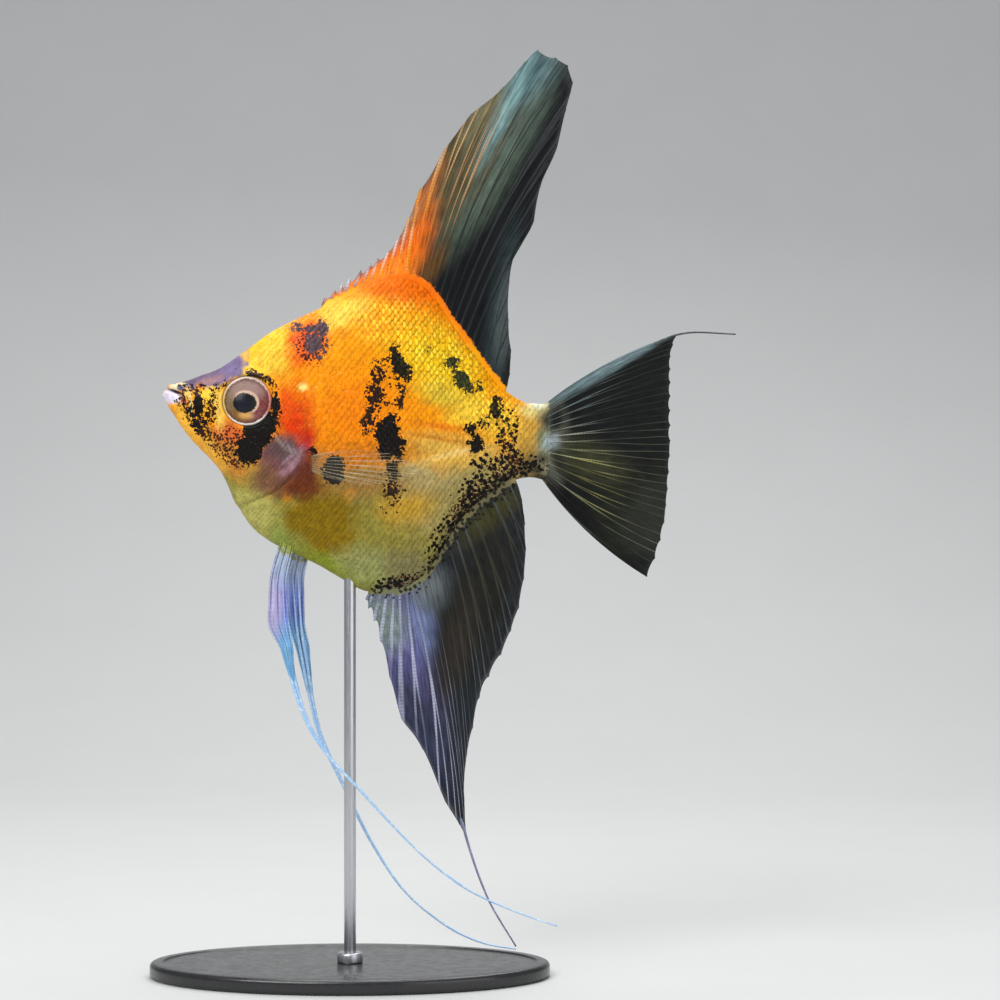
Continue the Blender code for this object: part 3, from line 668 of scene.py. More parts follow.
def add_ball(segments: int, rings: int) -> None:
    """Add a unit ball with its poles along Y.

    Args:
        segments: How many faces it has round its axis.
        rings: How many it has from pole to pole.
    """
    deselect()
    bpy.ops.mesh.primitive_uv_sphere_add(
        segments=segments, ring_count=rings, radius=1.0, rotation=(math.radians(90), 0.0, 0.0)
    )
    bpy.ops.object.transform_apply(rotation=True)


def round_edges(piece: Piece, width: float, segments: int, sharpest: float = 30.0) -> None:
    """Round a piece's edges and shade its faces smooth across them.

    Args:
        piece: The active object.
        width: The rounding's width in millimetres.
        segments: How many faces it has across.
        sharpest: The fold in degrees from which an edge is rounded.
    """
    rounding = piece.modifiers.new("rounding", "BEVEL")
    rounding.width = width * MM
    rounding.segments = segments
    rounding.limit_method = "ANGLE"
    rounding.angle_limit = math.radians(sharpest)
    bpy.ops.object.modifier_apply(modifier="rounding")
    bpy.ops.object.shade_smooth_by_angle(angle=math.radians(SMOOTH_FOLD))


def settle(piece: Piece, slot: str, *nodes: str) -> Piece:
    """Fix a piece to the fish and hide the solids that it stands for.

    Args:
        piece: The piece.
        slot: Not used.
        nodes: The solids that it stands for.

    Returns:
        The same piece.
    """
    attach(piece, "root")
    if nodes:
        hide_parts(*nodes)
    log.info("%s: %d points", piece.name, len(piece.data.vertices))
    return piece


PIGMENT = Pigment()


class Recipe:
    """A material under construction: short ways to add nodes and join them."""

    def __init__(self, name: str) -> None:
        """Start a material with a Principled shader.

        Args:
            name: The material's name.
        """
        self.material = bpy.data.materials.new(name)
        self.material.use_nodes = True
        self.tree = self.material.node_tree
        self.shader = self.tree.nodes["Principled BSDF"]
        self.output = self.tree.nodes["Material Output"]
        self.places = self.add("ShaderNodeTexCoord").outputs["Object"]

    def add(self, kind: str, **settings: object) -> bpy.types.Node:
        """Add a node of a kind, with its settings.

        Args:
            kind: The node's type.
            settings: Its properties by name.

        Returns:
            The node.
        """
        node = self.tree.nodes.new(kind)
        for key, value in settings.items():
            setattr(node, key, value)
        return node

    def feed(self, socket: Socket, value: object) -> None:
        """Join an output to an input, or set the input's own value.

        Args:
            socket: The input.
            value: An output or a plain value.
        """
        if isinstance(value, Socket):
            self.tree.links.new(value, socket)
        elif isinstance(value, tuple) and len(value) == 3 and socket.type == "RGBA":
            socket.default_value = (*value, 1.0)
        else:
            socket.default_value = value

    def maths(self, operation: str, *values: object) -> Socket:
        """A sum, product or other operation on numbers or outputs.

        Args:
            operation: Its name.
            values: What it works on.

        Returns:
            The result.
        """
        node = self.add("ShaderNodeMath", operation=operation)
        for socket, value in zip(node.inputs, values):
            self.feed(socket, value)
        return node.outputs[0]

    def times(self, *values: object) -> Socket:
        """The product of two numbers or outputs."""
        return self.maths("MULTIPLY", *values)

    def plus(self, *values: object) -> Socket:
        """The sum of two numbers or outputs."""
        return self.maths("ADD", *values)

    def minus(self, *values: object) -> Socket:
        """The first of two numbers or outputs, less the second."""
        return self.maths("SUBTRACT", *values)

    def value(self, name: str) -> Socket:
        """A number stored on the mesh."""
        return self.add("ShaderNodeAttribute", attribute_name=name).outputs["Fac"]

    def tint(self, name: str) -> Socket:
        """A colour stored on the mesh."""
        return self.add("ShaderNodeAttribute", attribute_name=name).outputs["Color"]

    def texture(self, kind: str, scale: float, places: Socket | None = None) -> bpy.types.Node:
        """A texture node of a kind, on the piece's own places or on others.

        Args:
            kind: The texture's name.
            scale: Its scale.
            places: Where it is read, by default the piece's own places.

        Returns:
            The node.
        """
        node = self.add(f"ShaderNodeTex{kind}")
        self.feed(node.inputs["Vector"], places or self.places)
        self.feed(node.inputs["Scale"], scale)
        return node

    def noise(self, size: float, detail: float = 3.0, rough: float = 0.55,
              places: Socket | None = None) -> Socket:
        """A noise whose hills are about a given size in millimetres.

        Args:
            size: The hills' size.
            detail: How many finer noises lie over it.
            rough: How strong those are.
            places: Where it is read, by default the piece's own places.

        Returns:
            The noise, 0 to 1.
        """
        node = self.texture("Noise", 1.0 / (size * MM), places)
        self.feed(node.inputs["Detail"], detail)
        self.feed(node.inputs["Roughness"], rough)
        return node.outputs["Fac"]

    def dots(self, size: float, places: Socket | None = None) -> Socket:
        """The distance to the nearest of many scattered points, as a share of their spacing."""
        return self.texture("Voronoi", 1.0 / (size * MM), places).outputs["Distance"]

    def cells(self, size: float, places: Socket | None = None) -> Socket:
        """A chance value for each of many small cells."""
        return self.texture("Voronoi", 1.0 / (size * MM), places).outputs["Color"]

    def ramp(self, value: Socket, low: float, high: float,
             start: object = 0.0, end: object = 1.0) -> Socket:
        """A soft ramp from start at low to end at high.

        Args:
            value: What runs along the ramp.
            low: Where the ramp begins.
            high: Where it ends.
            start: The result up to low.
            end: The result from high on.

        Returns:
            The result.
        """
        node = self.add("ShaderNodeMapRange", interpolation_type="SMOOTHSTEP")
        for key, given in (("Value", value), ("From Min", low), ("From Max", high),
                           ("To Min", start), ("To Max", end)):
            self.feed(node.inputs[key], given)
        return node.outputs[0]

    def spread(self, play: Socket, low: float, high: float) -> Socket:
        """A noise stretched to run between two values."""
        return self.ramp(play, 0.3, 0.7, low, high)

    def mix(self, share: object, first: object, second: object, how: str = "MIX") -> Socket:
        """Blend two colours.

        Args:
            share: How much of the second colour shows.
            first: The first colour.
            second: The second colour.
            how: The way they blend.

        Returns:
            The new colour.
        """
        node = self.add("ShaderNodeMix", data_type="RGBA", blend_type=how)
        for socket, value in zip((node.inputs[0], node.inputs[6], node.inputs[7]),
                                 (share, first, second)):
            self.feed(socket, value)
        return node.outputs[2]

    def shaded(self, first: object, second: object) -> Socket:
        """One colour multiplied by another."""
        return self.mix(1.0, first, second, "MULTIPLY")

    def layers(self, base: object, *coats: tuple[object, object]) -> Socket:
        """Lay colours over a first one, each given with its share.

        Args:
            base: The first colour.
            coats: Pairs of a share and a colour.

        Returns:
            The colour under all its layers.
        """
        for share, shade in coats:
            base = self.mix(share, base, shade)
        return base

    def shifted(self, amount: float, size: float) -> Socket:
        """Places pushed about by noise, so that a pattern on them has uneven edges.

        Args:
            amount: How far they are pushed, in millimetres.
            size: The noise's size in millimetres.

        Returns:
            The places.
        """
        node = self.texture("Noise", 1.0 / (size * MM))
        centred = self.add("ShaderNodeVectorMath", operation="SUBTRACT")
        self.feed(centred.inputs[0], node.outputs["Color"])
        centred.inputs[1].default_value = (0.5, 0.5, 0.5)
        scaled = self.add("ShaderNodeVectorMath", operation="SCALE")
        self.feed(scaled.inputs[0], centred.outputs[0])
        scaled.inputs["Scale"].default_value = 2 * amount * MM
        moved = self.add("ShaderNodeVectorMath", operation="ADD")
        self.feed(moved.inputs[0], self.places)
        self.feed(moved.inputs[1], scaled.outputs[0])
        return moved.outputs[0]

    def relief(self, height: Socket, depth: float, strength: float = 1.0) -> None:
        """Give the surface a fine relief of a depth in millimetres.

        Args:
            height: The height, 0 to 1.
            depth: The depth that 1 stands for.
            strength: How strongly it shows.
        """
        node = self.add("ShaderNodeBump")
        self.feed(node.inputs["Height"], height)
        node.inputs["Distance"].default_value = depth * MM
        node.inputs["Strength"].default_value = strength
        self.feed(self.shader.inputs["Normal"], node.outputs[0])

    def gloss(self, **values: object) -> None:
        """Set the shader's own inputs by name, with _ for each space."""
        for key, value in values.items():
            self.feed(self.shader.inputs[key.replace("_", " ")], value)

    def see_through(self, share: Socket) -> Finish:
        """Let a share of the surface, 0 to 1, show what is behind it.

        Args:
            share: The share.

        Returns:
            The material.
        """
        clear = self.add("ShaderNodeBsdfTransparent")
        both = self.add("ShaderNodeMixShader")
        self.feed(both.inputs[0], share)
        self.feed(both.inputs[1], self.shader.outputs[0])
        self.feed(both.inputs[2], clear.outputs[0])
        self.feed(self.output.inputs["Surface"], both.outputs[0])
        return self.material


@dataclass(frozen=True)
class FishSkin:
    """Wet skin or scales with the fish's markings, ragged at their edges; scales also get a painted glint
    on their crowns and painted shade at their free edges.
    """

    name: str
    scaled: bool = False
    ragged: float = 0.75
    dot_size: float = 0.95
    rust_size: float = 0.55
    wetness: float = 0.07
    ink_rim: float = 0.1
    rust_cover: float = 0.52
    dot_cover: float = 0.46
    rust_brown: Colour = colour(68, 32, 16)
    grain_red: Colour = colour(214, 70, 10)
    gleam_gold: Colour = colour(255, 238, 84)
    gleam_lift: Colour = (1.7, 2.0, 1.4)
    rim_shade: Colour = (0.6, 0.42, 0.4)

    def markings(self, recipe: Recipe) -> tuple[Socket, Socket]:
        """The coat's colour with ink, dots and rust laid over it.

        Args:
            recipe: The material being made.

        Returns:
            The colour, and how much of it is ink.
        """
        coat = recipe.tint("coat_colour")
        torn = recipe.shifted(0.35, 0.7)
        cloud = recipe.spread(recipe.noise(1.6), 0.84, 1.1)
        coat = recipe.shaded(coat, cloud)
        mottle = recipe.ramp(recipe.noise(0.6, 3.0, 0.6, torn), 0.34, 0.66, 0.91, 1.08)
        coat = recipe.shaded(coat, mottle)
        grain = recipe.ramp(recipe.dots(0.22), 0.05, 0.34, 0.14, 0.0)
        coat = recipe.mix(grain, coat, self.grain_red)
        edge = recipe.minus(recipe.noise(1.1, 4.0, 0.7), 0.5)
        edge = recipe.times(edge, 2.3 * self.ragged)
        crumb = recipe.minus(recipe.cells(0.42, torn), 0.5)
        edge = recipe.plus(edge, recipe.times(crumb, 1.5 * self.ragged))
        ink = recipe.plus(recipe.value("ink"), edge)
        ink = recipe.ramp(ink, 0.0, self.ink_rim)
        rust_reach = recipe.times(recipe.value("rust"), self.rust_cover)
        rust = recipe.minus(rust_reach, recipe.dots(self.rust_size, torn))
        coat = recipe.mix(recipe.ramp(rust, -0.04, 0.05), coat, self.rust_brown)
        dot_reach = recipe.times(recipe.value("speckle"), self.dot_cover)
        size_play = recipe.times(recipe.noise(1.4), 0.34)
        dot_reach = recipe.times(dot_reach, recipe.plus(size_play, 0.92))
        dots = recipe.minus(dot_reach, recipe.dots(self.dot_size, torn))
        dark = recipe.maths("MAXIMUM", ink, recipe.ramp(dots, -0.03, 0.03))
        tone = recipe.mix(recipe.ramp(recipe.noise(0.4), 0.4, 0.7, 0.0, 0.45),
                          recipe.tint("ink_colour"), colour(40, 30, 22))
        return recipe.mix(dark, coat, tone), dark

    def make(self) -> Finish:
        """Build the material.

        Returns:
            The material.
        """
        recipe = Recipe(self.name)
        shade, dark = self.markings(recipe)
        if self.scaled:
            # Painted glint: a pale gold spot on each scale's crown, strongest where glitter is high and
            # weakest on the ink.
            place = recipe.value("from_root")
            crown = recipe.ramp(place, 0.56, 0.74, 0.0, 1.0)
            beside = recipe.maths("ABSOLUTE", recipe.value("across"))
            crown = recipe.times(crown, recipe.ramp(beside, 0.62, 0.36))
            # Painted shade: each scale darker towards its free edge, more so where glitter is high.
            rim = recipe.plus(recipe.times(recipe.value("glitter"), 0.9), 0.1)
            rim = recipe.times(rim, recipe.ramp(place, 0.84, 1.0, 0.0, 0.7))
            painted_glint = recipe.times(crown, recipe.value("glitter"))
            painted_glint = recipe.times(painted_glint, recipe.value("spark"))
            painted_glint = recipe.times(painted_glint, recipe.ramp(dark, 0.0, 1.0, 1.0, 0.12))
            light = recipe.shaded(shade, self.gleam_lift)
            light = recipe.mix(0.55, light, self.gleam_gold)
            shade = recipe.mix(painted_glint, shade, light)
            shade = recipe.mix(rim, shade, recipe.shaded(shade, self.rim_shade))
        recipe.gloss(Base_Color=shade, Coat_Weight=self.wetness, Coat_Roughness=0.12,
                     Specular_IOR_Level=0.12,
                     Roughness=recipe.spread(recipe.noise(0.9), 0.34, 0.5))
        recipe.relief(recipe.noise(0.16, 2.0), 0.03, 0.5)
        return recipe.material


def ridged(off: Array, ridges: Points) -> Array:
    """The rise at places off a line, from ridges of a height, place and width.

    Args:
        off: How far the places lie from the line.
        ridges: Each ridge's height, its own distance from the line and its width. A
            furrow's height is below 0.

    Returns:
        The rise in millimetres.
    """
    return sum(height * bump(off - beside, width) for height, beside, width in ridges)


@dataclass(frozen=True)
class Fold:
    """Ridges and furrows along a line of the head, sinking away towards the line's ends."""

    line: Points
    ridges: Points
    arch: float = 0.5
    first: float = 0.0

    def rise(self, x: Array, z: Array) -> Array:
        """How far the skin rises at places.

        Args:
            x: The places' x.
            z: The places' z.

        Returns:
            The rise in millimetres.
        """
        off, share = polyline_reach(x, z, self.line)
        ends = np.sin(np.pi * np.clip(share, self.first, 1.0)) ** self.arch
        return ends * ridged(off, self.ridges)


@dataclass
class Skin:
    """The one skin of the head, jaw, gill covers, trunk and tail stock."""

    segments: int = 300
    rings: int = 290
    # Where the rings stand: their share from snout to tail, and their x. The head gets most.
    ring_places: Points = (
        (0, -37.6), (0.02, -37.56), (0.05, -37.4), (0.1, -36.8), (0.2, -34.8),
        (0.34, -30.4), (0.52, -22.6), (0.72, -9.6), (0.8, -2), (0.97, 37), (1, 39.4),
    )
    eye_x: float = -20.1
    eye_z: float = 114.8
    eye_reach: float = 5.0
    orbit_y: float = 5.72
    orbit_turn: float = 0.05
    orbit_fade: tuple[float, float] = (0.2, 2.6)
    orbit_share: float = 0.8
    flank_depth: float = 2.5
    socket_depth: float = 1.9
    mouth_line: Points = (
        (-38.2, 118.2), (-36.9, 117.5), (-36.2, 117.2), (-35.2, 116.9), (-34.4, 116.6),
        (-33.5, 115.7), (-33.1, 114.6),
    )
    lips: Points = ((0.34, 0.75, 0.55), (0.26, -0.75, 0.6), (-0.75, 0, 0.18))
    lower_jaw: Fold = Fold(
        ((-33.1, 114.6), (-33.0, 112.8), (-32.4, 110.8), (-31.2, 109.0)),
        ((-0.22, 0.0, 0.25),), first=0.02,
    )
    upper_jaw: Fold = Fold(
        ((-33.6, 118.2), (-32.7, 117.6), (-32.1, 116.0), (-31.9, 114.0), (-31.5, 111.8)),
        ((0.3, -0.45, 0.42), (-0.55, 0.12, 0.25)), 0.6,
    )
    gill_edge: Points = (
        (-9.7, 121.4), (-8.8, 117), (-8.2, 112), (-8, 108), (-8.8, 104.5),
        (-11.2, 100.2), (-15, 97), (-20, 95), (-25.6, 93.2),
    )
    gill_flap: float = 0.24
    gill_flap_from: float = -3.4
    gill_slit: Points = ((-0.34, 0.3, 0.28),)
    cheek: Fold = Fold(
        ((-14.2, 119.6), (-14.6, 116.6), (-14.5, 112.2), (-15.5, 107.8), (-18.4, 103.2),
         (-22.6, 100.4)),
        ((0.12, -0.8, 0.8), (-0.24, 0.0, 0.3)),
    )
    nostril_x: float = -29.8
    nostril_z: float = 118.2
    nostril: Points = ((0.12, 0.75, 0.25), (-0.8, 0, 0.36))
    chin: tuple[float, float] = (-24.0, -30.0)
    chin_crease: float = 0.05
    lid: Points = ((0.28, 0.42, 0.3), (-0.14, 1.15, 0.35))

    def lift(self, x: Array, z: Array) -> Array:
        """The folds and furrows of the skin, in millimetres outwards.

        Args:
            x: The places' x.
            z: The places' z.

        Returns:
            The rise at each place.
        """
        off, share = polyline_reach(x, z, self.mouth_line)
        rise = ridged(off, self.lips) * smooth_step(1.0, 0.9, share)
        for fold in (self.lower_jaw, self.upper_jaw, self.cheek):
            rise = rise + fold.rise(x, z)
        off, share = polyline_reach(x, z, self.gill_edge)
        ends = smooth_step(0.0, 0.12, share) * smooth_step(1.0, 0.9, share)
        flap = self.gill_flap * smooth_step(self.gill_flap_from, -0.5, off) * (off < 0.12)
        rise = rise + ends * (flap + ridged(off, self.gill_slit))
        from_nostril = np.hypot(x - self.nostril_x, z - self.nostril_z)
        rise = rise + ridged(from_nostril, self.nostril)
        rise = rise + smooth_step(*self.chin, x) * self.chin_crease * wavy(x, z, 1.9, 2.0)
        return rise

    def set_orbit(self, places: Array) -> Array:
        """Bring the skin round each eye level with it, and hollow it behind the eye.

        Args:
            places: The skin's points.

        Returns:
            The points with both orbits.
        """
        reach = np.hypot(places[:, 0] - self.eye_x, places[:, 2] - self.eye_z)
        side = np.sign(places[:, 1])
        depth = np.abs(places[:, 1])
        level = self.orbit_y - self.orbit_turn * (self.eye_x - places[:, 0])
        near = 1 - smooth_step(*self.orbit_fade, reach - self.eye_reach)
        depth = depth + (level - depth) * self.orbit_share * near * (depth > self.flank_depth)
        lid = ridged(reach - self.eye_reach, self.lid)
        hollow = smooth_step(self.eye_reach + 0.02, self.eye_reach - 0.5, reach)
        hollow = self.socket_depth * hollow
        depth = np.where(depth > self.flank_depth, depth + lid - hollow, depth)
        placed = places.copy()
        placed[:, 1] = side * depth
        return placed

    def outer(self, x: Array, turn: Array, sunk: float) -> Array:
        """Points a little under the body's outer surface.

        Args:
            x: Stations along the body.
            turn: The turn round each section.
            sunk: How far under the surface.

        Returns:
            The points, with the skin's folds.
        """
        step = 1e-3
        here = BODY.section(x, turn)
        across = BODY.section(x, turn + step) - BODY.section(x, turn - step)
        along = BODY.section(x + 10 * step, turn) - BODY.section(x - 10 * step, turn)
        normal = np.cross(across, along)
        length = np.linalg.norm(normal, axis=-1, keepdims=True)
        normal = np.where(length > 1e-12, normal / np.maximum(length, 1e-12), 0.0)
        outwards = np.sign((normal * (here - self.middle(x))).sum(-1, keepdims=True))
        normal = normal * np.where(outwards == 0, 1.0, outwards)
        rise = self.lift(here[..., 0], here[..., 2]) - sunk
        return here + normal * rise[..., None]

    def middle(self, x: Array) -> Array:
        """The points of the body's axis."""
        return np.stack((x, np.zeros(np.shape(x)), BODY.widest(x)), -1)

    def build(self) -> Piece:
        """Make the skin: a sphere whose rings become the body's sections, then its folds.

        Returns:
            The piece.
        """
        deselect()
        bpy.ops.mesh.primitive_uv_sphere_add(
            segments=self.segments, ring_count=self.rings, radius=1.0
        )
        piece = name_new("skin", FishSkin("wet_skin").make())
        ball = points_of(piece.data) * MM
        share = np.arccos(np.clip(ball[:, 2], -1.0, 1.0)) / math.pi
        turn = np.arctan2(ball[:, 1], ball[:, 0])
        stations = Line(self.ring_places)(share)
        radius = np.hypot(ball[:, 0], ball[:, 1])
        places = self.outer(stations, turn, BODY.coat_depth)
        ends = radius < 1e-5
        places[ends] = self.middle(stations[ends])
        places = self.set_orbit(places)
        move_points(piece.data, places)
        face_out(piece)
        PIGMENT.paint(piece.data, places)
        return settle(piece, "body_skin", "head", "lower_jaw", "gill_cover_left",
                      "gill_cover_right", "trunk_front", "trunk_rear", "tail_stock")


SKIN = Skin()


@dataclass
class ScaleCoat:
    """Overlapping scales in rows from head to tail, each a thin bent shield over the skin."""

    along: float = 1.2
    row: float = 0.86
    fine_share: float = 0.68
    cover: float = 1.7
    spread: float = 1.34
    proud: float = 0.055
    root_depth: float = 0.05
    root_share: float = 0.48
    smooth: float = 0.19
    flat: float = 0.3
    lift: float = 0.03
    crown: float = 0.05
    edge_depth: float = 0.03
    uneven_skew: float = 0.06
    uneven_tilt: float = 0.2
    uneven_lean: float = 0.035
    rounding: float = 0.42
    root_breadth: float = 0.78
    edge_breadth: float = 0.22
    root_middle: float = 0.45
    growth: tuple[float, float] = (0.94, 1.08)
    sparks: tuple[float, float] = (0.15, 1.0)
    least_round: float = 0.4
    snout_gap: float = 0.2
    belly_gap: float = 0.12
    eye_gap: float = 1.3
    gill_gap: float = 0.45
    furrow_gap: float = 0.35
    turn_step: float = 0.01
    edge_play: tuple[float, float] = (0.05, 0.02)
    steps: int = 3
    breadth: int = 6
    probe: float = 0.1
    patch: float = 0.003
    unwrap: float = 92.0
    seed: int = 7
    first_x: float = -25.0
    last_x: float = 39.2
    nape_line: Points = ((-22.6, 126), (-15.4, 120.6), (-11.5, 121.8), (-9.7, 121.4))
    breast_line: Points = ((-8.8, 104.5), (-7, 96), (-4, 88), (2, 80), (5, 75))

    def shield(self) -> tuple[Array, Array]:
        """One scale of unit size: its points (along, across, share from root) and faces.

        Returns:
            The points, each with a fourth number that is 1 under the rim, and the
            faces.
        """
        rows, columns = self.steps + 1, self.breadth + 1
        corners = []
        for i in range(rows):
            share = i / self.steps
            for j in range(columns):
                across = 2 * j / self.breadth - 1
                reach = share * (1 - self.rounding * across * across * share)
                wide = self.root_breadth + self.edge_breadth * share
                corners.append((reach, across * wide, share, 0.0))
        rim = [i * columns for i in range(1, rows)]
        rim += [self.steps * columns + j for j in range(1, columns)]
        rim += [i * columns + self.breadth for i in range(rows - 2, 0, -1)]
        for corner in rim:
            corners.append((*corners[corner][:3], 1.0))
        faces = [
            (i * columns + j, i * columns + j + 1, (i + 1) * columns + j + 1, (i + 1) * columns + j)
            for i in range(self.steps) for j in range(self.breadth)
        ]
        skirt = rows * columns
        faces += [
            (rim[k], rim[k + 1], skirt + k + 1, skirt + k) for k in range(len(rim) - 1)
        ]
        return np.array(corners, float), np.array(faces, int)

    def roots(self, share: float) -> tuple[Array, Array, Array]:
        """Where scales grow, in rows round the body.

        Args:
            share: The spacing as a share of the largest scales'.

        Returns:
            The scales' stations, turns and girths from the widest line.
        """
        turns = np.linspace(-math.pi / 2, math.pi / 2, 361)
        stations, found, girths = [], [], []
        half, deep = self.along * share / 2, 2 * self.row * share
        for count, x in enumerate(np.arange(self.first_x, self.last_x, half)):
            line = BODY.section(np.full(turns.shape, x), turns)
            run = np.concatenate(((0.0,), np.cumsum(np.linalg.norm(np.diff(line, axis=0), axis=1))))
            run -= run[len(turns) // 2]
            first = math.ceil(run[0] / deep) * deep + (deep / 2 if count % 2 else 0.0)
            girth = np.arange(first, run[-1] - self.belly_gap, deep)
            stations.append(np.full(girth.shape, x))
            found.append(np.interp(girth, run, turns))
            girths.append(girth)
        return np.concatenate(stations), np.concatenate(found), np.concatenate(girths)

    def fine_zone(self, x: Array, z: Array) -> Array:
        """Whether places carry the small scales of the head and breast.

        Args:
            x: The places' x.
            z: The places' z.

        Returns:
            True for each such place.
        """
        on_head, _ = polyline_reach(x, z, SKIN.gill_edge[:6])
        behind_nape, _ = polyline_reach(x, z, self.nape_line)
        on_breast, _ = polyline_reach(x, z, self.breast_line)
        upper = z > 121.4
        head = np.where(upper, (behind_nape < 0) & (x < -9.0), on_head < 0)
        return (head & (x < -7.8)) | ((on_breast < 0) & (z < 104.5))

    def bare(self, x: Array, z: Array) -> Array:
        """Whether places are without scales: the face, the eye's rim and the gill slit.

        Args:
            x: The places' x.
            z: The places' z.

        Returns:
            True for each such place.
        """
        from_eye = np.hypot(x - SKIN.eye_x, z - SKIN.eye_z)
        slit, share = polyline_reach(x, z, SKIN.gill_edge)
        gill = (np.abs(slit - 0.2) < self.gill_gap) & (share > 0.02) & (share < 0.96)
        face = x < -24.6 + 0.2 * (z - 112.0)
        forehead = (z > 117.5) & (x < -19.5 + 0.3 * (z - 121.0))
        cheek, cheek_share = polyline_reach(x, z, SKIN.cheek.line)
        furrow = (np.abs(cheek) < self.furrow_gap) & (cheek_share > 0.02) & (cheek_share < 0.98)
        return (from_eye < SKIN.eye_reach + self.eye_gap) | gill | face | forehead | furrow

    def grow(self, side: Side, small: bool) -> Piece:
        """Make one side's large or small scales as one joined mesh.

        Args:
            side: The side of the fish.
            small: Whether to make the small scales.

        Returns:
            The piece.
        """
        size = self.fine_share if small else 1.0
        x, turn, girth = self.roots(size)
        base = BODY.section(x, turn)
        kept = (self.fine_zone(base[:, 0], base[:, 2]) == small)
        kept &= ~self.bare(base[:, 0], base[:, 2])
        x, turn, girth = x[kept], turn[kept], girth[kept]
        chance = np.random.default_rng(self.seed + side.value + 3 * small)
        count = len(x)
        growth = size * chance.uniform(*self.growth, count)
        unit, faces = self.shield()
        skew = chance.normal(0.0, self.uneven_skew, count)[:, None]
        tilt = chance.normal(0.0, self.uneven_tilt, count)[:, None]
        lean = chance.normal(0.0, self.uneven_lean, count)[:, None]
        ahead = (unit[:, 0] - self.root_middle)[None, :] * self.cover * self.along * growth[:, None]
        across = unit[:, 1][None, :] * self.spread * self.row * growth[:, None]
        ahead, across = ahead - skew * across, across + skew * ahead
        station = x[:, None] + ahead
        step = self.turn_step
        round_run = np.linalg.norm(
            BODY.section(x, turn + step) - BODY.section(x, turn - step), axis=1) / (2 * step)
        turns = turn[:, None] + across / np.maximum(round_run, self.least_round)[:, None]
        station = np.clip(station, BODY.snout + self.snout_gap, BODY.tail)
        on_skin = SKIN.outer(station, turns, BODY.coat_depth)
        above = SKIN.outer(station, turns, BODY.coat_depth - self.probe)
        outwards = (above - on_skin) / self.probe
        share, skirt = unit[:, 2][None, :], unit[:, 3][None, :]
        spots = BODY.section(x, turn)
        strong = PIGMENT.scattered(spots[:, 0], spots[:, 2], PIGMENT.glitter)[:, None]
        rise = (self.proud + self.root_depth) * (self.smooth + (1 - self.smooth) * strong)
        curve = self.flat + (1 - self.flat) * strong
        height = rise * (share * (1 + tilt) - self.root_share)
        height = height * growth[:, None] + self.lift + lean * curve * across
        height = height - self.crown * curve * unit[:, 1] ** 2 * growth[:, None]
        edge = self.edge_depth + self.edge_play[0] * strong + self.edge_play[1] * share
        height = height - skirt * edge
        places = on_skin + outwards * height[..., None]
        places[..., 1] *= side.value
        flat = places.reshape(-1, 3)
        order = faces if side is Side.LEFT else faces[:, ::-1]
        copies = (np.arange(count) * len(unit))[:, None, None]
        joined = (order[None] + copies).reshape(-1, 4)
        name = f"{'small_' if small else ''}scales_{side.word}"
        look = FishSkin(f"{'small' if small else 'large'}_scales", scaled=True).make()
        piece = mesh_object(name, flat, joined, look)
        PIGMENT.paint(piece.data, flat)
        write_value(piece.data, "from_root", np.tile(unit[:, 2], count))
        write_value(piece.data, "across", np.tile(unit[:, 1], count))
        write_value(piece.data, "spark", np.repeat(chance.uniform(*self.sparks, count), len(unit)))
        self.unwrap_scales(piece.data, x, girth, unit, joined)
        return settle(piece, "body_skin")

    def unwrap_scales(self, mesh: bpy.types.Mesh, x: Array, girth: Array,
                      unit: Array, faces: Array) -> None:
        """Give each scale a small patch of its own at its root's place on the unrolled skin.

        Args:
            mesh: The scales' mesh.
            x: The scales' stations.
            girth: Their lengths round the body from its widest line.
            unit: One scale's points.
            faces: The mesh's faces.
        """
        root_u = 0.06 + (x - BODY.snout) / self.unwrap
        root_v = 0.5 + girth / self.unwrap
        u = root_u[:, None] + (unit[:, 0] - 0.5)[None] * self.patch
        v = root_v[:, None] + unit[:, 1][None] * self.patch / 2
        spots = np.stack((u, v), -1).reshape(-1, 2)
        layer = mesh.uv_layers.new(name="OFBake")
        layer.data.foreach_set("uv", spots[faces.ravel()].astype(np.float32).ravel())

    def build(self) -> list[Piece]:
        """Make the scales of both sides."""
        return [self.grow(side, small) for side in Side for small in (False, True)]


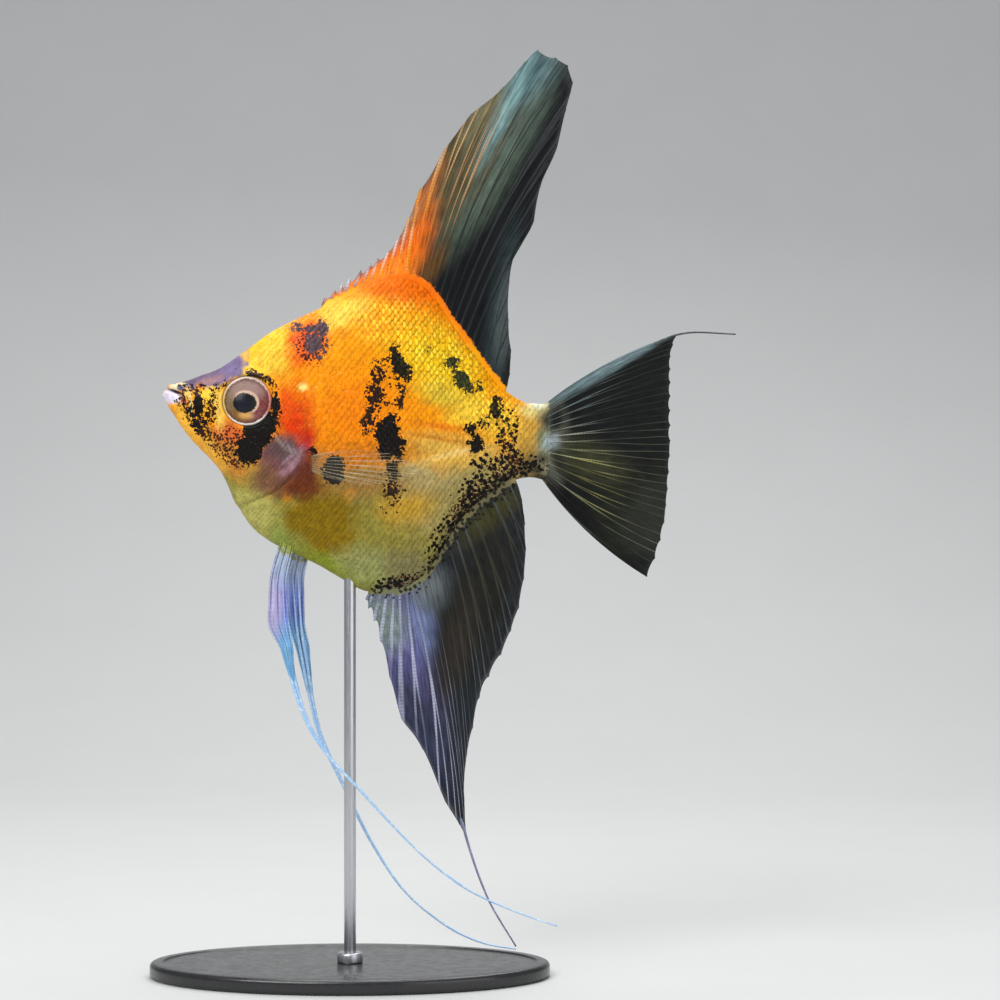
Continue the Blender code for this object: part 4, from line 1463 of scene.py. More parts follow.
@dataclass(frozen=True)
class IrisPaint:
    """The eye's colours, by the reach from the pupil's middle to the eye's rim, with painted highlights
    on the rim's underside and on the pupil ring's upper rear side, and painted shade where the eye turns
    into its socket.
    """

    name: str = "iris"

    def make(self) -> Finish:
        """Build the material.

        Returns:
            The material.
        """
        recipe = Recipe(self.name)
        reach, front, up = (recipe.value(key) for key in ("reach", "front", "up"))
        streak = recipe.noise(0.5, 4.0, 0.7, recipe.shifted(0.3, 0.5))
        edge = recipe.plus(reach, recipe.spread(streak, -0.06, 0.06))
        low = recipe.times(recipe.ramp(up, -0.3, -0.8), recipe.ramp(front, -0.4, 0.2))
        under = recipe.times(recipe.ramp(up, -0.8, -1.0), recipe.ramp(edge, 1.7, 1.3))
        lit = recipe.minus(recipe.times(up, 0.75), front)
        # Painted highlight: the pale ring round the pupil shows only on its upper rear side, where light
        # falls.
        ring = recipe.times(recipe.ramp(reach, 1.24, 1.15), recipe.ramp(lit, -0.5, 0.2))
        side = recipe.layers(
            colour(236, 158, 146),
            (recipe.ramp(front, -0.3, 0.6), colour(228, 194, 118)),
            (recipe.ramp(up, 0.2, 0.9), colour(232, 214, 200)),
            # Painted highlight: the rim turns near white along its underside.
            (recipe.ramp(up, -0.4, -0.8), colour(250, 246, 240)),
        )
        pupil = recipe.mix(recipe.ramp(reach, 0.3, 0.9), colour(10, 12, 36), colour(3, 3, 10))
        base = recipe.layers(
            colour(124, 44, 50),
            (recipe.ramp(front, -0.7, 0.5), colour(128, 106, 56)),
            (recipe.ramp(up, -0.1, 0.95, 0.0, 0.9), colour(182, 152, 144)),
            (low, colour(138, 92, 30)),
            (recipe.ramp(streak, 0.42, 0.72, 0.0, 0.5), colour(176, 130, 108)),
            (recipe.ramp(streak, 0.5, 0.3, 0.0, 0.5), colour(78, 44, 32)),
            (under, colour(226, 172, 92)),
            (recipe.ramp(reach, 1.6, 1.88, 0.0, 0.6), colour(84, 46, 44)),
            (recipe.ramp(edge, 1.88, 1.97), side),
            # Painted shade: a dark band where the eye turns in towards its socket.
            (recipe.ramp(reach, 2.08, 2.15), colour(84, 44, 34)),
            (ring, colour(232, 196, 172)),
            (recipe.ramp(edge, 1.05, 0.99), colour(10, 8, 12)),
            (recipe.ramp(reach, 0.98, 0.94), pupil),
        )
        recipe.gloss(Base_Color=base, Coat_Weight=0.12, Coat_Roughness=0.08,
                     Specular_IOR_Level=0.2,
                     Roughness=recipe.spread(streak, 0.26, 0.4))
        recipe.relief(streak, 0.05, 0.4)
        return recipe.material


@dataclass(frozen=True)
class ClearCornea:
    """The clear, wet front of the eye."""

    name: str = "cornea"

    def make(self) -> Finish:
        """Build the material.

        Returns:
            The material.
        """
        recipe = Recipe(self.name)
        recipe.gloss(Base_Color=colour(255, 255, 255), Roughness=0.03, Specular_IOR_Level=0.6)
        facing = recipe.add("ShaderNodeFresnel")
        facing.inputs["IOR"].default_value = 1.36
        open_share = recipe.minus(1.0, recipe.times(facing.outputs[0], 0.3))
        return recipe.see_through(open_share)


@dataclass
class Eyes:
    """Two round eyes: a cupped iris round a domed pupil, under a clear cornea."""

    rim: float = 4.94
    pupil: float = 2.3
    pupil_forward: float = 0.85
    pupil_drop: float = 0.7
    rim_level: float = 5.78
    iris_level: float = 5.42
    pupil_level: float = 5.95
    cornea_level: float = 6.72
    cornea_inset: float = 0.16
    cornea_back: float = 0.06
    back_level: float = 3.2
    front_share: float = 0.82
    squash: float = 0.16
    dome: float = 0.45
    lip: float = 0.08
    turned_in: float = 0.5
    segments: int = 96
    rings: int = 90
    cornea_segments: int = 64
    cornea_rings: int = 32

    def ball(self, side: Side) -> Piece:
        """Make one eye's iris, pupil and rim.

        Args:
            side: The side of the fish.

        Returns:
            The piece.
        """
        add_ball(self.segments, self.rings)
        piece = name_new(f"eye_{side.word}_ball", IrisPaint().make())
        ball = points_of(piece.data) * MM
        polar = np.arccos(np.clip(-ball[:, 1], -1.0, 1.0)) / math.pi
        flat = np.hypot(ball[:, 0], ball[:, 2])
        away = np.maximum(flat, 1e-9)
        shown = polar <= self.front_share
        reach = np.where(shown, polar / self.front_share * self.rim, self.rim)
        dir_x, dir_z = ball[:, 0] / away, ball[:, 2] / away
        shift = 1 - smooth_step(0.0, self.rim, reach)
        x = SKIN.eye_x + dir_x * reach - self.pupil_forward * shift
        squash = 1 - self.squash * (1 - smooth_step(0.4 * self.rim, 0.9 * self.rim, reach))
        z = SKIN.eye_z + dir_z * reach * squash - self.pupil_drop * shift
        share = reach / self.pupil
        dome = self.pupil_level - self.dome * np.minimum(share, 1.0) ** 2
        bowl = self.iris_level + (self.rim_level - self.iris_level) * smooth_step(1.1, 1.95, share)
        level = np.where(share < 1.0, dome, bowl)
        level = np.where((share >= 1.0) & (share < 1.1), self.iris_level + self.lip, level)
        level = level - self.turned_in * smooth_step(2.02, self.rim / self.pupil, share)
        back = smooth_step(self.front_share, 1.0, polar)
        behind = self.rim_level - self.turned_in + (self.back_level - self.rim_level) * back
        level = np.where(shown, level, behind)
        closing = np.clip((polar - self.front_share) / (1 - self.front_share), 0.0, 1.0)
        shrink = np.where(shown, 1.0, np.cos(closing * math.pi / 2))
        x = np.where(shown, x, SKIN.eye_x + dir_x * self.rim * shrink)
        z = np.where(shown, z, SKIN.eye_z + dir_z * self.rim * shrink)
        places = np.stack((x, side.value * level, z), -1)
        move_points(piece.data, places)
        face_out(piece)
        write_value(piece.data, "reach", reach / self.pupil)
        write_value(piece.data, "front", -dir_x)
        write_value(piece.data, "up", dir_z)
        return settle(piece, "eye", f"eye_{side.word}")

    def cornea(self, side: Side) -> Piece:
        """Make one eye's clear front, a shallow lens over the iris.

        Args:
            side: The side of the fish.

        Returns:
            The piece.
        """
        add_ball(self.cornea_segments, self.cornea_rings)
        piece = name_new(f"eye_{side.word}_cornea", ClearCornea().make())
        ball = points_of(piece.data) * MM
        level = self.rim_level - self.cornea_inset
        height = np.where(ball[:, 1] < 0, self.cornea_level - level, self.cornea_back)
        x = SKIN.eye_x + ball[:, 0] * (self.rim - self.cornea_inset)
        z = SKIN.eye_z + ball[:, 2] * (self.rim - self.cornea_inset)
        y = side.value * (level - ball[:, 1] * height)
        move_points(piece.data, np.stack((x, y, z), -1))
        face_out(piece)
        return settle(piece, "eye")

    def build(self) -> None:
        """Make both eyes."""
        for side in Side:
            self.ball(side)
            self.cornea(side)


@dataclass
class Studio:
    """The pale floor and sweep, the soft lamps and the camera."""

    aim_x: float = 30.0
    aim_z: float = 95.2
    distance: float = 555.6
    lens: float = 100.0
    sweep_radius: float = 520.0
    sweep_half: float = 2400.0
    sweep_back: float = 330.0
    lamp_aim: tuple[float, float, float] = (10.0, 0.0, 110.0)
    lamps: tuple[tuple, ...] = (
        ("key", (-260.0, -420.0, 520.0), 380.0, 2.6),
        ("fill", (420.0, -480.0, 160.0), 500.0, 0.9),
        ("top", (40.0, 60.0, 620.0), 420.0, 2.0),
        ("back", (60.0, 420.0, 560.0), 360.0, 1.2),
    )
    sky: tuple[float, float, float, float] = (0.93, 0.95, 1.0, 1.0)
    sky_strength: float = 0.38

    def floor(self) -> None:
        """Make the floor and wall as one sheet bent up in a wide curve."""
        deselect()
        bpy.ops.mesh.primitive_grid_add(x_subdivisions=2, y_subdivisions=160, size=2.0)
        recipe = Recipe("pale_paper")
        paper = recipe.mix(recipe.noise(40.0), colour(206, 207, 206), colour(211, 212, 211))
        recipe.gloss(Base_Color=paper, Roughness=0.75)
        recipe.relief(recipe.noise(1.5), 0.02, 0.3)
        piece = name_new("floor", recipe.material)
        flat = points_of(piece.data) * MM
        run = (flat[:, 1] + 1) * self.sweep_half
        straight = self.sweep_half + self.sweep_back
        turn = np.clip((run - straight) / self.sweep_radius, 0.0, math.pi / 2)
        rise = np.maximum(run - straight - self.sweep_radius * math.pi / 2, 0.0)
        y = np.minimum(run, straight) - self.sweep_half + self.sweep_radius * np.sin(turn)
        z = self.sweep_radius * (1 - np.cos(turn)) + rise
        move_points(piece.data, np.stack((flat[:, 0] * self.sweep_half, y, z), -1))
        piece.data.shade_smooth()

    def lamp(self, name: str, place: tuple[float, float, float], size: float, power: float) -> None:
        """Add a soft square lamp that faces the fish.

        Args:
            name: The lamp's name.
            place: Where it hangs, in millimetres.
            size: Its width in millimetres.
            power: Its power in watts.
        """
        bpy.ops.object.light_add(type="AREA", location=[side * MM for side in place])
        made = bpy.context.object
        made.name = name
        made.data.size = size * MM
        made.data.energy = power
        aim = Vector(self.lamp_aim) * MM - made.location
        made.rotation_euler = aim.to_track_quat("-Z", "Y").to_euler()

    def build(self) -> None:
        """Set the floor, lamps, sky and camera."""
        self.floor()
        for lamp in self.lamps:
            self.lamp(*lamp)
        world = bpy.data.worlds.new("room")
        world.use_nodes = True
        background = world.node_tree.nodes["Background"]
        background.inputs["Color"].default_value = self.sky
        background.inputs["Strength"].default_value = self.sky_strength
        bpy.context.scene.world = world
        bpy.context.scene.view_settings.view_transform = "Standard"
        data = bpy.data.cameras.new("camera")
        data.lens, data.sensor_width = self.lens, 36.0
        camera = bpy.data.objects.new("camera", data)
        camera.location = (self.aim_x * MM, -self.distance * MM, self.aim_z * MM)
        camera.rotation_euler = (math.radians(90), 0.0, 0.0)
        bpy.context.scene.collection.objects.link(camera)
        bpy.context.scene.camera = camera


@dataclass(frozen=True)
class FinWeb:
    """A fin's thin web with its branched rays drawn as paler lines and low ridges."""

    name: str
    gloss: float = 0.34
    jointed: float = 0.25
    ray_light: float = 0.85
    ray_clear: float = 0.35
    ray_drift: float = 0.17
    dot_size: float = 0.95

    def make(self) -> Finish:
        """Build the material.

        Returns:
            The material.
        """
        recipe = Recipe(self.name)
        number, out = recipe.value("ray_number"), recipe.value("outwards")
        beside = recipe.maths("ABSOLUTE", recipe.minus(recipe.maths(
            "FRACT", recipe.plus(number, 0.5)), 0.5))
        off = recipe.maths("ABSOLUTE", recipe.minus(beside, recipe.value("branch")))
        wide = recipe.value("ray_width")
        ray = recipe.ramp(recipe.maths("DIVIDE", off, wide), 1.1, 0.45)
        grain = recipe.add("ShaderNodeCombineXYZ")
        recipe.feed(grain.inputs[0], recipe.times(number, 7.0))
        recipe.feed(grain.inputs[1], recipe.times(out, 9.0))
        streaks = recipe.texture("Noise", 1.0, grain.outputs[0])
        recipe.feed(streaks.inputs["Detail"], 5.0)
        streak = streaks.outputs["Fac"]
        joints = recipe.maths("SINE", recipe.times(recipe.value("length_out"), 9.0))
        joints = recipe.ramp(joints, -0.6, 0.4, 1.0 - self.jointed, 1.0)
        web, near = recipe.tint("web_colour"), recipe.value("near_body")
        web = recipe.shaded(web, recipe.ramp(streak, 0.25, 0.75, 0.55, 1.4))
        cloud = recipe.spread(recipe.noise(3.0), 0.87, 1.1)
        web = recipe.shaded(web, cloud)
        lines = recipe.shaded(recipe.tint("ray_colour"), joints)
        slow = recipe.texture("Noise", self.ray_drift, grain.outputs[0]).outputs["Fac"]
        uneven = recipe.ramp(slow, 0.36, 0.6, 0.18, 1.0)
        share = recipe.times(ray, recipe.ramp(streak, 0.2, 0.6, 0.5, self.ray_light))
        share = recipe.times(share, uneven)
        shade = recipe.mix(share, web, lines)
        torn = recipe.spread(recipe.noise(0.9, 4.0, 0.7), -0.3, 0.3)
        near = recipe.ramp(recipe.plus(near, torn), 0.3, 0.7)
        shade = recipe.mix(near, shade, recipe.tint("body_colour"))
        dots = recipe.times(recipe.value("dotted"), 0.46)
        dots = recipe.minus(dots, recipe.dots(self.dot_size, recipe.shifted(0.35, 0.7)))
        shade = recipe.mix(recipe.ramp(dots, -0.03, 0.05, 0.0, 0.9), shade, INK)
        recipe.gloss(Base_Color=shade, Coat_Weight=0.04, Coat_Roughness=0.2,
                     Specular_IOR_Level=0.14,
                     Roughness=recipe.spread(streak, self.gloss, self.gloss + 0.15))
        height = recipe.plus(recipe.times(ray, joints), streak)
        recipe.relief(height, 0.06, 0.6)
        between = recipe.ramp(ray, 0.0, 1.0, 1.0, self.ray_clear)
        return recipe.see_through(recipe.times(recipe.value("clear"), between))


@dataclass
class Fin:
    """A fin as a fan of rays in a thin web, thick at its root and ragged at its edge."""

    name: str
    roots: Points
    tips: Points
    bows: tuple[float, ...]
    sway: float
    spines: int = 0
    notches: tuple[float, ...] = ()
    columns: int = 12
    rows: int = 84
    web_half: float = 0.06
    ray_half: float = 0.26
    root_half: float = 0.85
    root_fade: float = 2.4
    scallop: float = 0.5
    scallop_play: tuple[float, float] = (0.5, 1.5)
    split_from: float = 0.34
    split_to: float = 0.25
    ray_share: float = 0.16
    spine_share: float = 0.24
    fold: float = 0.22
    root_y: float = 0.0
    tip_y: float = 0.0
    web: Colour = colour(30, 36, 38)
    ray: Colour = colour(120, 130, 120)
    web_washes: tuple[Patch, ...] = ()
    ray_washes: tuple[Patch, ...] = ()
    clear_patches: tuple[Patch, ...] = ()
    clear_most: float = 0.0
    clear_edge: float = 0.93
    uneven_washes: float = 0.3
    sheath: float = 0.95
    sheath_fade: float = 2.6
    dots_fade: tuple[float, float] = (2.0, 4.4)
    tucked: bool = True
    tuck_share: float = 0.8
    tuck_depth: float = 0.3
    ray_clear: float = 0.35
    levels: int = 64
    seed: int = 3

    @property
    def index(self) -> Array:
        """The rays' numbers."""
        return np.arange(len(self.roots), dtype=float)

    def stations(self) -> Array:
        """Each ray's place across the fin, 0 to 1, with spines standing twice as wide.

        Returns:
            One place per ray.
        """
        rays = self.index
        spaced = np.where(rays < self.spines, 2.0 * rays, rays + self.spines - 1.0)
        return spaced / (len(rays) + max(self.spines - 1, 0))

    def root_line(self, number: Array) -> Array:
        """The fin's root at fractions of its ray numbers."""
        return np.stack([np.interp(number, self.index, side) for side in zip(*self.roots)], -1)

    def tip_line(self, number: Array) -> Array:
        """The fin's edge at fractions of its ray numbers, scalloped between its rays.

        Args:
            number: Ray numbers, with fractions.

        Returns:
            The edge's x and z.
        """
        count = len(self.roots)
        chance = np.random.default_rng(self.seed)
        edge = smooth_path(self.tips, number, count - 1.0)
        low = np.clip(np.floor(number).astype(int), 0, count - 2)
        part = number - low
        between = np.sin(np.pi * np.clip(part, 0.0, 1.0))
        depth = self.scallop * chance.uniform(*self.scallop_play, count)
        depth[: len(self.notches)] = self.notches
        dip = depth[low] * between**0.75
        fork = np.where(low >= self.spines, 0.3 * self.scallop, 0.0)
        dip = dip + fork * np.abs(np.sin(2 * np.pi * part)) * (1 - between)
        ray = edge - self.root_line(number)
        length = np.linalg.norm(ray, axis=-1)
        return edge - ray / length[..., None] * np.minimum(dip, 0.9 * length)[..., None]

    def sheet(self, number: Array, out: Array) -> tuple[Array, Array]:
        """Points of the fin's middle sheet.

        Args:
            number: Ray numbers, with fractions.
            out: Shares of the way from root to edge.

        Returns:
            The points, and each point's way out along its ray.
        """
        root, tip = self.root_line(number), self.tip_line(number)
        ray = tip - root
        bow = np.interp(number, self.index, self.bows)[..., None]
        middle = (root + tip) / 2 + bow * np.stack((-ray[..., 1], ray[..., 0]), -1)
        t = out[..., None]
        flat = (1 - t) ** 2 * root + 2 * t * (1 - t) * middle + t**2 * tip
        station = np.interp(number, self.index, self.stations())
        wave = self.sway * out**1.5 * np.sin(np.pi * (0.2 + 1.1 * station))
        wave = wave + self.fold * out**1.5 * np.sin(2 * np.pi * (number / 3.1 + 0.4 * out))
        wave = wave + 0.5 * self.fold * out**2 * np.sin(2 * np.pi * (number / 1.27 + 0.9 * out))
        wave = wave + self.root_y + (self.tip_y - self.root_y) * out
        length = np.linalg.norm(ray, axis=-1) * out
        return np.stack((flat[..., 0], wave, flat[..., 1]), -1), length

    def build(self, slot: str, *nodes: str) -> Piece:
        """Make the fin: a grid laid over its rays, then thickened most along them.

        Args:
            slot: A name handed on to settle.
            nodes: The solids that it stands for.

        Returns:
            The piece.
        """
        across = (len(self.roots) - 1) * self.columns
        deselect()
        bpy.ops.mesh.primitive_grid_add(x_subdivisions=across, y_subdivisions=self.rows, size=2)
        piece = name_new(self.name, FinWeb(f"{self.name}_web", ray_clear=self.ray_clear).make())
        flat = points_of(piece.data) * MM
        number = (flat[:, 0] + 1) / 2 * (len(self.roots) - 1)
        out = (flat[:, 1] + 1) / 2
        places, length = self.sheet(number, out)
        move_points(piece.data, places)
        beside = np.abs(number - np.round(number))
        soft = smooth_step(self.spines - 1.2, self.spines + 0.3, number)
        branch = soft * self.split_to * smooth_step(self.split_from, 1.0, out) ** 0.8
        wide = self.spine_share + (self.ray_share - self.spine_share) * soft
        wide = wide * (1.0 - 0.55 * soft * smooth_step(0.2, 0.9, out))
        ridge = np.exp(-(((beside - branch) / wide) ** 2))
        half = self.web_half + (self.ray_half * (1 - 0.75 * out)) * ridge
        at_root = np.exp(-((length / self.root_fade) ** 2))
        deep = np.full(number.shape, self.root_half)
        if self.tucked:
            inside = BODY.half_width_at(*self.root_line(number).T)
            deep = np.minimum(deep, self.tuck_share * inside - self.tuck_depth)
        half = half + (np.maximum(deep, self.web_half) - half) * at_root
        self.thicken(piece, half)
        x, z = places[:, 0], places[:, 2]
        web = PIGMENT.blend(x, z, self.web_washes, self.web, self.uneven_washes)
        rays = PIGMENT.blend(x, z, self.ray_washes, self.ray, self.uneven_washes)
        clear = self.clear_most * np.maximum(
            PIGMENT.scattered(x, z, self.clear_patches), smooth_step(self.clear_edge, 1.0, out))
        body = PIGMENT.blend(x, z, PIGMENT.washes, PIGMENT.flank)
        bared = smooth_step(self.sheath, self.sheath_fade * self.sheath, length)
        dotted = PIGMENT.dotted(x, z) * (1 - smooth_step(*self.dots_fade, length))
        for key, values in (("ray_number", number), ("outwards", out), ("branch", branch),
                            ("ray_width", wide), ("length_out", length), ("clear", clear),
                            ("near_body", 1 - bared), ("dotted", dotted)):
            write_value(piece.data, key, values)
        for key, shades in (("body_colour", body), ("web_colour", web), ("ray_colour", rays)):
            write_colour(piece.data, key, shades)
        bpy.ops.object.modifier_apply(modifier="thickness")
        piece.data.shade_smooth()
        return settle(piece, slot, *nodes)

    def thicken(self, piece: Piece, half: Array) -> None:
        """Give the sheet its thickness, by weights from thin web to thick root.

        Args:
            piece: The sheet.
            half: Half the thickness at each point.
        """
        group = piece.vertex_groups.new(name="thickness")
        most = float(half.max())
        level = np.clip(np.round(half / most * self.levels).astype(int), 1, self.levels)
        for k in range(1, self.levels + 1):
            members = np.nonzero(level == k)[0]
            if len(members):
                group.add(members.tolist(), k / self.levels, "REPLACE")
        solid = piece.modifiers.new("thickness", "SOLIDIFY")
        solid.thickness = 2 * most * MM
        solid.offset = 0.0
        solid.vertex_group = "thickness"


@dataclass
class Fins:
    """The dorsal, anal and tail fins."""

    dorsal_spines: Points = (
        (-5.8, -5, 135.9), (-4.2, -3, 137.2), (-2.6, -1.7, 138.7), (-1.2, -0.2, 139.9),
        (0.6, 2.1, 141.4), (2.2, 4, 142.8), (3.8, 5.6, 143.8), (5.6, 7.5, 145),
        (7.4, 9.5, 147.7), (9.4, 11.7, 151.9), (11.2, 14, 157.6), (12.8, 18.8, 165.4),
    )
    dorsal_rays: Points = (
        (14, 24.2, 172.6), (15, 30.6, 177.9), (15.8, 35, 183), (16.6, 37.6, 185.4),
        (17.6, 41.2, 183.8), (18.6, 43.6, 182.2), (19.6, 44.6, 178.8), (20.6, 43.2, 173.2),
        (21.6, 41.4, 165.6), (22.8, 38.2, 158.2), (24, 36.8, 151), (25.2, 33.2, 145.2),
        (26.8, 31.9, 138.8), (28.4, 31.7, 131.2), (29.8, 32.2, 125.2), (30.9, 32, 120.4),
    )
    anal_spines: Points = (
        (4.2, 3.2, 75.2), (5.2, 3.6, 73.4), (6.4, 4.7, 70.8), (7.6, 6, 66.8),
        (8.8, 7.9, 59.6), (10, 10.2, 51.4),
    )
    anal_rays: Points = (
        (11.2, 14.4, 45.4), (12.2, 19, 34.8), (13.2, 21.8, 30.2), (14.2, 23.2, 27.6),
        (15.2, 22.9, 33.2), (16.2, 22.8, 37.6), (17.2, 23.4, 44.2), (18.2, 24.6, 49.6),
        (19.4, 25.9, 55.6), (20.6, 27.8, 59.8), (22.2, 30.2, 64.2), (24, 32.2, 69),
        (25.8, 33.8, 73.6), (27.8, 34.8, 79.4), (29.6, 35.2, 85.4), (31.4, 35, 90.4),
        (32.8, 34.4, 95),
    )
    dorsal_bow: float = 0.085
    anal_bow: float = 0.05
    sunk: float = 1.1
    tail_root_x: float = 37.8
    tail_root_top: float = 113.4
    tail_root_foot: float = 100.2
    tail_rays: int = 17
    tail_tip_x: Points = (
        (0, 65.6), (0.12, 64.2), (0.45, 64.2), (0.8, 63), (0.92, 61.4), (1, 59.4),
    )
    tail_tip_z: Points = (
        (0, 128.4), (0.12, 124.2), (0.45, 109.6), (0.8, 91.4), (0.92, 84.6), (1, 79.8),
    )
    tail_bow_top: float = 0.1
    tail_bow_foot: float = -0.11
    dorsal_sway: float = 2.2
    anal_sway: float = 1.2
    tail_sway: float = 1.4
    dorsal_web: tuple[Patch, ...] = (
        wash(28, 164, 20, 5.4, 62, 80, 94, 80, 0.5), wash(33, 172, 12, 4.6, 58, 76, 90, 80, 0.6),
        wash(21.4, 162, 20, 5, 61, 80, 72, 46, 0.5), wash(36, 181, 7, 3.6, 50, 76, 104, 108, 0.8),
        # Painted glint: the second wash on the next line is a pale teal streak of reflected light across
        # the web.
        wash(27, 173.6, 8, 1.8, 58, 102, 98, 66, 0.8), wash(31.4, 174, 11, 1.5, 64, 118, 152, 152, 0.8),
        wash(16.6, 142, 4.6, 1.5, 62, 102, 70, 32, 0.9), wash(30.5, 132, 15, 2.6, 82, 44, 58, 60, 0.7),
        wash(9.6, 144.4, 11.5, 4.6, 62, 226, 102, 4, 0.45), wash(3, 138, 11, 3.2, 27, 246, 126, 10, 0.4),
        wash(14.6, 155, 7.5, 1.2, 62, 170, 92, 30, 0.8), wash(1, 141.4, 10, 1.6, 36, 96, 92, 100, 0.6),
        wash(10, 149, 5, 0.8, 54, 150, 130, 110, 0.8),
    )
    dorsal_ray: tuple[Patch, ...] = (
        wash(29, 163, 22, 5, 62, 14, 18, 18, 0.4), wash(20, 160, 22, 5.2, 62, 226, 174, 116, 0.4),
        wash(36.5, 181, 6, 4, 45, 120, 156, 162, 0.7), wash(11, 146, 13, 5, 66, 255, 160, 40, 0.4),
        wash(1, 141.8, 11, 2.6, 34, 222, 228, 240, 0.6),
    )
    anal_web: tuple[Patch, ...] = (
        wash(10, 64, 15, 6.4, -74, 98, 94, 146, 0.6), wash(15, 70, 7.5, 2.6, -74, 112, 124, 168, 0.7),
        wash(16.4, 77, 4, 4, 0, 104, 112, 116, 0.7), wash(14, 50, 12, 4, -68, 50, 54, 76, 0.7),
        wash(6.5, 71, 6, 4.4, -60, 118, 132, 128, 0.6), wash(25, 74, 18, 6.6, 70, 28, 29, 25, 0.5),
        wash(21, 66, 10, 3, 74, 44, 38, 32, 0.7), wash(28, 92, 8, 2.4, 40, 58, 56, 28, 0.7),
    )
    anal_ray: tuple[Patch, ...] = (
        wash(12, 56, 30, 7, -72, 196, 200, 224, 0.6), wash(27, 80, 16, 7, 66, 66, 64, 52, 0.6),
    )
    tail_web: tuple[Patch, ...] = (
        wash(40.6, 107, 2.6, 8, 0, 96, 98, 84, 0.7), wash(41.3, 111.4, 1.6, 2.4, -20, 16, 16, 18, 0.7),
        wash(41.9, 103, 1.3, 2.6, 20, 20, 20, 18, 0.6),
        wash(40.8, 106.9, 1.2, 1.3, 0, 170, 184, 190, 0.7),
        wash(54, 123.2, 16.5, 1.2, 31, 116, 138, 142, 0.6),
        wash(49.6, 89.4, 16, 1.5, -43, 10, 10, 12, 0.5), wash(58, 92, 8, 9, -40, 30, 33, 22, 0.5),
        wash(48, 103, 7, 3.4, -22, 54, 56, 36, 0.8),
    )
    tail_ray: tuple[Patch, ...] = (
        wash(43, 106, 6, 8, 0, 206, 210, 194, 0.7), wash(55, 118, 14, 5, 30, 70, 76, 78, 0.6),
        wash(48, 117, 8, 3.4, 36, 134, 150, 152, 0.7), wash(58, 114, 10, 8, 10, 44, 47, 47, 0.7),
        # Painted reflection: the first wash on the next line gives the rays a faint olive glint of the
        # green around.
        wash(50, 99, 10, 5, -38, 178, 172, 104, 0.7), wash(60, 100, 6, 14, -20, 84, 86, 70, 0.6),
        wash(49.6, 89.4, 16, 1.7, -43, 26, 26, 28, 0.5),
    )

    def dorsal(self) -> Piece:
        """The tall back fin: a saw of short spines, a high swept blade and a rear lobe.

        Returns:
            The piece.
        """
        rows = self.dorsal_spines + self.dorsal_rays
        roots = tuple((x, float(BODY.back(x)) - self.sunk) for x, _, _ in rows)
        tips = tuple((x, z) for _, x, z in rows)
        longest = max(z for _, z in tips) - float(BODY.back(11.0))
        bows = tuple(
            self.dorsal_bow * min(1.0, math.dist(r, t) / longest) for r, t in zip(roots, tips)
        )
        notches = tuple(
            0.72 * (z - float(BODY.back(x))) * max(0.12, 1 - i / 8)
            for i, (x, _, z) in enumerate(self.dorsal_spines[:-1])
        )
        return Fin("dorsal_web", roots, tips, bows, self.dorsal_sway, len(self.dorsal_spines),
                   notches, web=colour(10, 13, 16), ray=colour(44, 52, 56),
                   web_washes=self.dorsal_web, ray_washes=self.dorsal_ray,
                   clear_patches=(Patch(31.0, 132.0, 14.0, 3.0, 84.0),), clear_most=0.3,
                   sheath=0.9, ray_share=0.11,
                   ).build("dark_fin", "dorsal_fin")

    def anal(self) -> Piece:
        """The fin under the tail, drawn out to a point below.

        Returns:
            The piece.
        """
        rows = self.anal_spines + self.anal_rays
        roots = tuple((x, float(BODY.belly(x)) + self.sunk) for x, _, _ in rows)
        tips = tuple((x, z) for _, x, z in rows)
        bows = tuple(self.anal_bow if x > self.anal_rays[0][0] else 0.0 for x, _, _ in rows)
        notches = tuple(
            0.5 * (float(BODY.belly(x)) - z) * max(0.1, 1 - i / 4)
            for i, (x, _, z) in enumerate(self.anal_spines[:-1])
        )
        return Fin("anal_web", roots, tips, bows, self.anal_sway, len(self.anal_spines),
                   notches, web=colour(32, 37, 42), ray=colour(96, 104, 106),
                   web_washes=self.anal_web, ray_washes=self.anal_ray, clear_most=0.3, seed=5,
                   sheath=0.8, ray_share=0.12,
                   ).build("dark_fin", "anal_fin")

    def tail(self) -> Piece:
        """The tail fan, with its upper corner drawn out.

        Returns:
            The piece.
        """
        tip_x, tip_z = Line(self.tail_tip_x), Line(self.tail_tip_z)
        shares = np.linspace(0.0, 1.0, self.tail_rays)
        drop = self.tail_root_foot - self.tail_root_top
        roots = tuple((self.tail_root_x, self.tail_root_top + drop * s) for s in shares)
        tips = tuple((float(tip_x(s)), float(tip_z(s))) for s in shares)
        bows = tuple(self.tail_bow_top + (self.tail_bow_foot - self.tail_bow_top) * s
                     for s in shares)
        return Fin("tail_web", roots, tips, bows, self.tail_sway, columns=20,
                   web=colour(17, 19, 18), ray=colour(112, 118, 106), root_half=1.5,
                   root_fade=3.4, ray_share=0.075, sheath=1.2, scallop=0.3, split_from=0.12,
                   split_to=0.27,
                   web_washes=self.tail_web, ray_washes=self.tail_ray, clear_most=0.14, seed=9,
                   clear_patches=(Patch(62.0, 92.0, 9.0, 12.0, -30.0),),
                   ).build("dark_fin", "tail_fin")

    def build(self) -> None:
        """Make the three fins."""
        self.dorsal()
        self.anal()
        self.tail()


